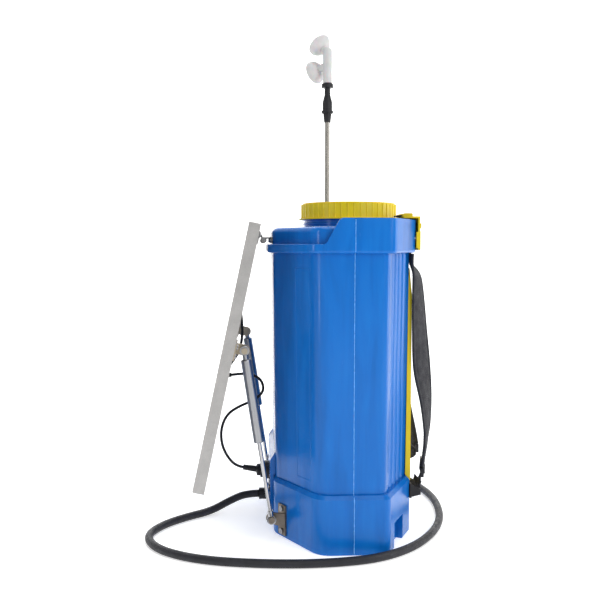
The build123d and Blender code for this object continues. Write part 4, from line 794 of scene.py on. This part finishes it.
# Y, Z and twist from inside the pad's end, through the buckle and round the hook's bar
LOWER_ROWS = {
    "right": [
        (121.9, 106, 13.5), (121.4, 99, 13.5), (121.3, 95.8, 13.5), (123.0, 93.6, 13.5),
        (125.2, 92.7, 13.5), (127.4, 91.7, 13.5), (128.2, 90.1, 13.5), (127.4, 88.5, 13.5),
        (125.2, 87.5, 13.5), (122.6, 86.8, 13.5), (121.8, 84.2, 13), (122.0, 80.2, 12),
        (121.0, 75.2, 10), (119.2, 69.4, 6),
    ] + ring + [(114.9, 68.3, 0), (116.4, 71.2, 2), (118.2, 76.0, 5)],
    "left": [
        (141.3, 104, -6), (140.7, 96, -6), (139.6, 91.8, -6), (140.9, 89.7, -6),
        (142.9, 88.8, -6), (145.1, 87.8, -6), (145.9, 86.1, -6), (145.1, 84.4, -6),
        (142.9, 83.5, -6), (140.1, 82.6, -6), (139.7, 79.8, -6), (141.9, 76.8, -5),
        (141.5, 73.6, -4), (137.4, 70.2, -2), (130.6, 68.1, 0), (121.0, 67.6, 0), (117.2, 66.0, 0),
    ] + ring + [(116.2, 69.6, 0), (121.4, 70.4, 0), (127.6, 70.8, 0)],
}
UPPER_ROWS = [
    (99.8, 415, 0), (99.8, 425, 0), (99.8, 440, 0), (99.8, 456, 0), (99.8, 468, 0), (100.2, 473.4, 0),
    (102.3, 475.9, 0), (104.8, 475.9, 0), (106.9, 473.4, 0), (107.3, 468, 0), (107.3, 460.5, 0),
]
TAIL_ROWS = [(85.9, 481.6, 0), (84.0, 481.6, 0), (81.8, 481.5, 0), (79.9, 481.3, 0)]
LOWER_W = 38.0
UPPER_W = 36.0
LOWER_STEPS, UPPER_STEPS = 5, 4
for side, x_mid in STRAP_X.items():
    bm = bmesh.new()
    frames = strap_frames(x_mid, catmull(LOWER_ROWS[side], LOWER_STEPS))
    add_strap(bm, frames, LOWER_W, WEB_PROFILE)
    lower = paint(from_bmesh(f"lower_strap_{side}", bm), "webbing")
    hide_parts(f"lower_webbing_{side}")

    bm = bmesh.new()
    for rows in (UPPER_ROWS, TAIL_ROWS):
        frames = strap_frames(x_mid, catmull(rows, UPPER_STEPS))
        add_strap(bm, frames, UPPER_W, WEB_PROFILE)
    upper = paint(from_bmesh(f"upper_strap_{side}", bm), "webbing")
    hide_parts(f"upper_webbing_{side}")
    for piece in (lower, upper):
        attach(piece, "tank")


# ---------------------------------------------------------------- moulded lines on the tank
shell = bmesh.new()
shell.from_mesh(nodes["tank_shell"].data)
tree = BVHTree.FromBMesh(shell)
shell.free()
seam_shader = Shader("seam_flash", Subsurface_Weight=0.2, Subsurface_Scale=0.002)
seam_shader.tones((0.12, 0.38, 0.86), 0.25, seam_shader.noise(220.0))
seam_shader.rough(0.25, 0.5, seam_shader.noise(400.0))
seam_shader.bump(seam_shader.noise(900.0), 0.0001)
MATERIALS["seam"] = seam_shader.material
SEAM_Y = 0.004
SEAM_HALF = 0.0006
SEAM_PROUD = 0.00042
SEAM_SUNK = 0.0004
RAY_REACH = 0.32
MOULDED_HALF = 0.0011
MOULDED_PROUD = 0.00035
REAR_NORMAL = Vector((61.0, -98.0, 0.0)).normalized()
RAY_FROM = 0.35
SEAM_LOW, SEAM_STEP, SEAM_COUNT = 0.002, 0.003, 158
RAGGED_BELOW = 0.12
OUTLINE_CORNER = (0.139, -0.0735)
OUTLINE_OUT = 0.2  # how far off the face its rays start
OUTLINE_WIDE = 0.033
OUTLINE_Z = (0.100, 0.405)
OUTLINE_STEP, OUTLINE_COUNT = 0.005, 62
OUTLINE_LEVEL_STEPS = 8


def surface_runs(starts, inward):
    """Unbroken runs of (start, hit), where rays from the starts meet the shell."""
    runs = [[]]
    for start in starts:
        hit = tree.ray_cast(start, inward)[0]
        if hit is not None and (hit - start).length <= RAY_REACH:
            runs[-1].append((start, hit))
        elif runs[-1]:
            runs.append([])
    return [run for run in runs if len(run) > 1]


def raised_line(bm, starts, inward, across, half, proud, ragged=0.0):
    """A low closed bead on the shell's surface, under the starts."""
    for run in surface_runs(starts, inward):
        rings = []
        for start, hit in run:
            rag = 1 + ragged * noise.noise(Vector((0, 3.0 * inward.x, start.z * 260)))
            if ragged and start.z < RAGGED_BELOW:
                rag *= 1 + 0.8 * abs(noise.noise(Vector((5.0, inward.x, start.z * 420))))
            top = proud * rag
            shoulder = top * 0.7
            section = (
                (-1.0, -SEAM_SUNK), (-0.55, shoulder), (0.0, top), (0.55, shoulder), (1.0, -SEAM_SUNK)
            )
            ring = [hit + across * (half * rag * t) - inward * rise for t, rise in section]
            rings.append([bm.verts.new(place) for place in ring])
        for lower, upper in zip(rings, rings[1:]):
            for k in range(len(lower)):
                n = (k + 1) % len(lower)
                bm.faces.new((lower[k], lower[n], upper[n], upper[k]))
        bm.faces.new(rings[0][::-1])
        bm.faces.new(rings[-1])


for side, sign in (("right", 1), ("left", -1)):
    bm = bmesh.new()
    heights = [SEAM_LOW + SEAM_STEP * k for k in range(SEAM_COUNT)]
    starts = [Vector((sign * RAY_FROM, SEAM_Y, z)) for z in heights]
    raised_line(bm, starts, Vector((-sign, 0, 0)), Vector((0, 1, 0)), SEAM_HALF, SEAM_PROUD, 0.5)
    seam = paint(from_bmesh(f"mould_seam_{side}", bm), "seam")

    normal = Vector((sign * REAR_NORMAL.x, REAR_NORMAL.y, 0))
    along = Vector((normal.y * -sign, normal.x * sign, 0))
    corner_a = Vector((sign * OUTLINE_CORNER[0], OUTLINE_CORNER[1], 0)) + normal * OUTLINE_OUT
    corner_b = corner_a + along * OUTLINE_WIDE
    bm = bmesh.new()
    for foot in (corner_a, corner_b):
        heights = [OUTLINE_Z[0] + OUTLINE_STEP * k for k in range(OUTLINE_COUNT)]
        rising = [foot + Vector((0, 0, z)) for z in heights]
        raised_line(bm, rising, -normal, along, MOULDED_HALF, MOULDED_PROUD)
    for z in OUTLINE_Z:
        shares = [k / OUTLINE_LEVEL_STEPS for k in range(OUTLINE_LEVEL_STEPS + 1)]
        level = [corner_a.lerp(corner_b, share) + Vector((0, 0, z)) for share in shares]
        raised_line(bm, level, -normal, Vector((0, 0, 1)), MOULDED_HALF, MOULDED_PROUD)
    outline = paint(from_bmesh(f"moulded_outline_{side}", bm), "tank")
    for piece in (seam, outline):
        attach(piece, "tank")


# ---------------------------------------------------------------- stage and light
floor_shader = Shader("studio_floor", Specular_IOR_Level=0.15, Emission_Strength=0.5)
floor_shader.bsdf.inputs["Emission Color"].default_value = (1, 1, 1, 1)
floor_shader.tones((0.88, 0.88, 0.88), 0.01, floor_shader.noise(2.0))
floor_shader.rough(0.65, 0.8, floor_shader.noise(4.0))
FLOOR_HALF = 6.0
COVE_X, COVE_R, COVE_TOP = -3.2, 1.2, 5.0
COVE_STEPS = 16
profile = [(FLOOR_HALF, 0.0), (COVE_X + COVE_R, 0.0)]
for k in range(1, COVE_STEPS + 1):
    a = math.pi / 2 * k / COVE_STEPS
    profile.append((COVE_X + COVE_R - COVE_R * math.sin(a), COVE_R - COVE_R * math.cos(a)))
profile.append((COVE_X, COVE_TOP))
bm = bmesh.new()
edges = [[bm.verts.new((x, y, z)) for x, z in profile] for y in (-FLOOR_HALF, FLOOR_HALF)]
for k in range(len(profile) - 1):
    bm.faces.new((edges[0][k], edges[0][k + 1], edges[1][k + 1], edges[1][k]))
floor = from_bmesh("studio_sweep", bm)
floor.data.materials.append(floor_shader.material)

WORLD_LIGHT = 0.42
WORLD_SEEN = 0.6  # added where the camera sees the world itself
world = bpy.data.worlds.new("world")
world.use_nodes = True
sky = world.node_tree.nodes["Background"]
sky.inputs["Color"].default_value = (0.98, 0.99, 1.0, 1)
seen = world.node_tree.nodes.new("ShaderNodeLightPath")
brighter = world.node_tree.nodes.new("ShaderNodeMath")
brighter.operation = "MULTIPLY_ADD"
brighter.inputs[1].default_value = WORLD_SEEN
brighter.inputs[2].default_value = WORLD_LIGHT
world.node_tree.links.new(seen.outputs["Is Camera Ray"], brighter.inputs[0])
world.node_tree.links.new(brighter.outputs["Value"], sky.inputs["Strength"])
scene.world = world


def softbox(name, place, target, size, power):
    """A rectangular studio light, aimed."""
    data = bpy.data.lights.new(name, "AREA")
    data.shape = "RECTANGLE"
    data.size, data.size_y = size
    data.energy = power
    lamp = bpy.data.objects.new(name, data)
    lamp.location = place
    lamp.rotation_euler = (Vector(target) - Vector(place)).to_track_quat("-Z", "Y").to_euler()
    scene.collection.objects.link(lamp)


softbox("key", (1.7, 1.3, 1.2), (0, 0, 0.3), (1.2, 1.4), 21)
softbox("top", (0.2, 0.0, 2.4), (0, 0, 0.3), (1.6, 1.6), 18)
softbox("wearer_side", (-0.2, 1.9, 0.5), (0, 0, 0.3), (0.8, 1.3), 12)
softbox("strip", (0.9, -1.35, 0.7), (0.1, -0.1, 0.25), (0.14, 1.2), 4)
softbox("backdrop_wash", (-1.2, 0, 2.6), (-3.0, 0, 0.9), (3.0, 1.2), 60)
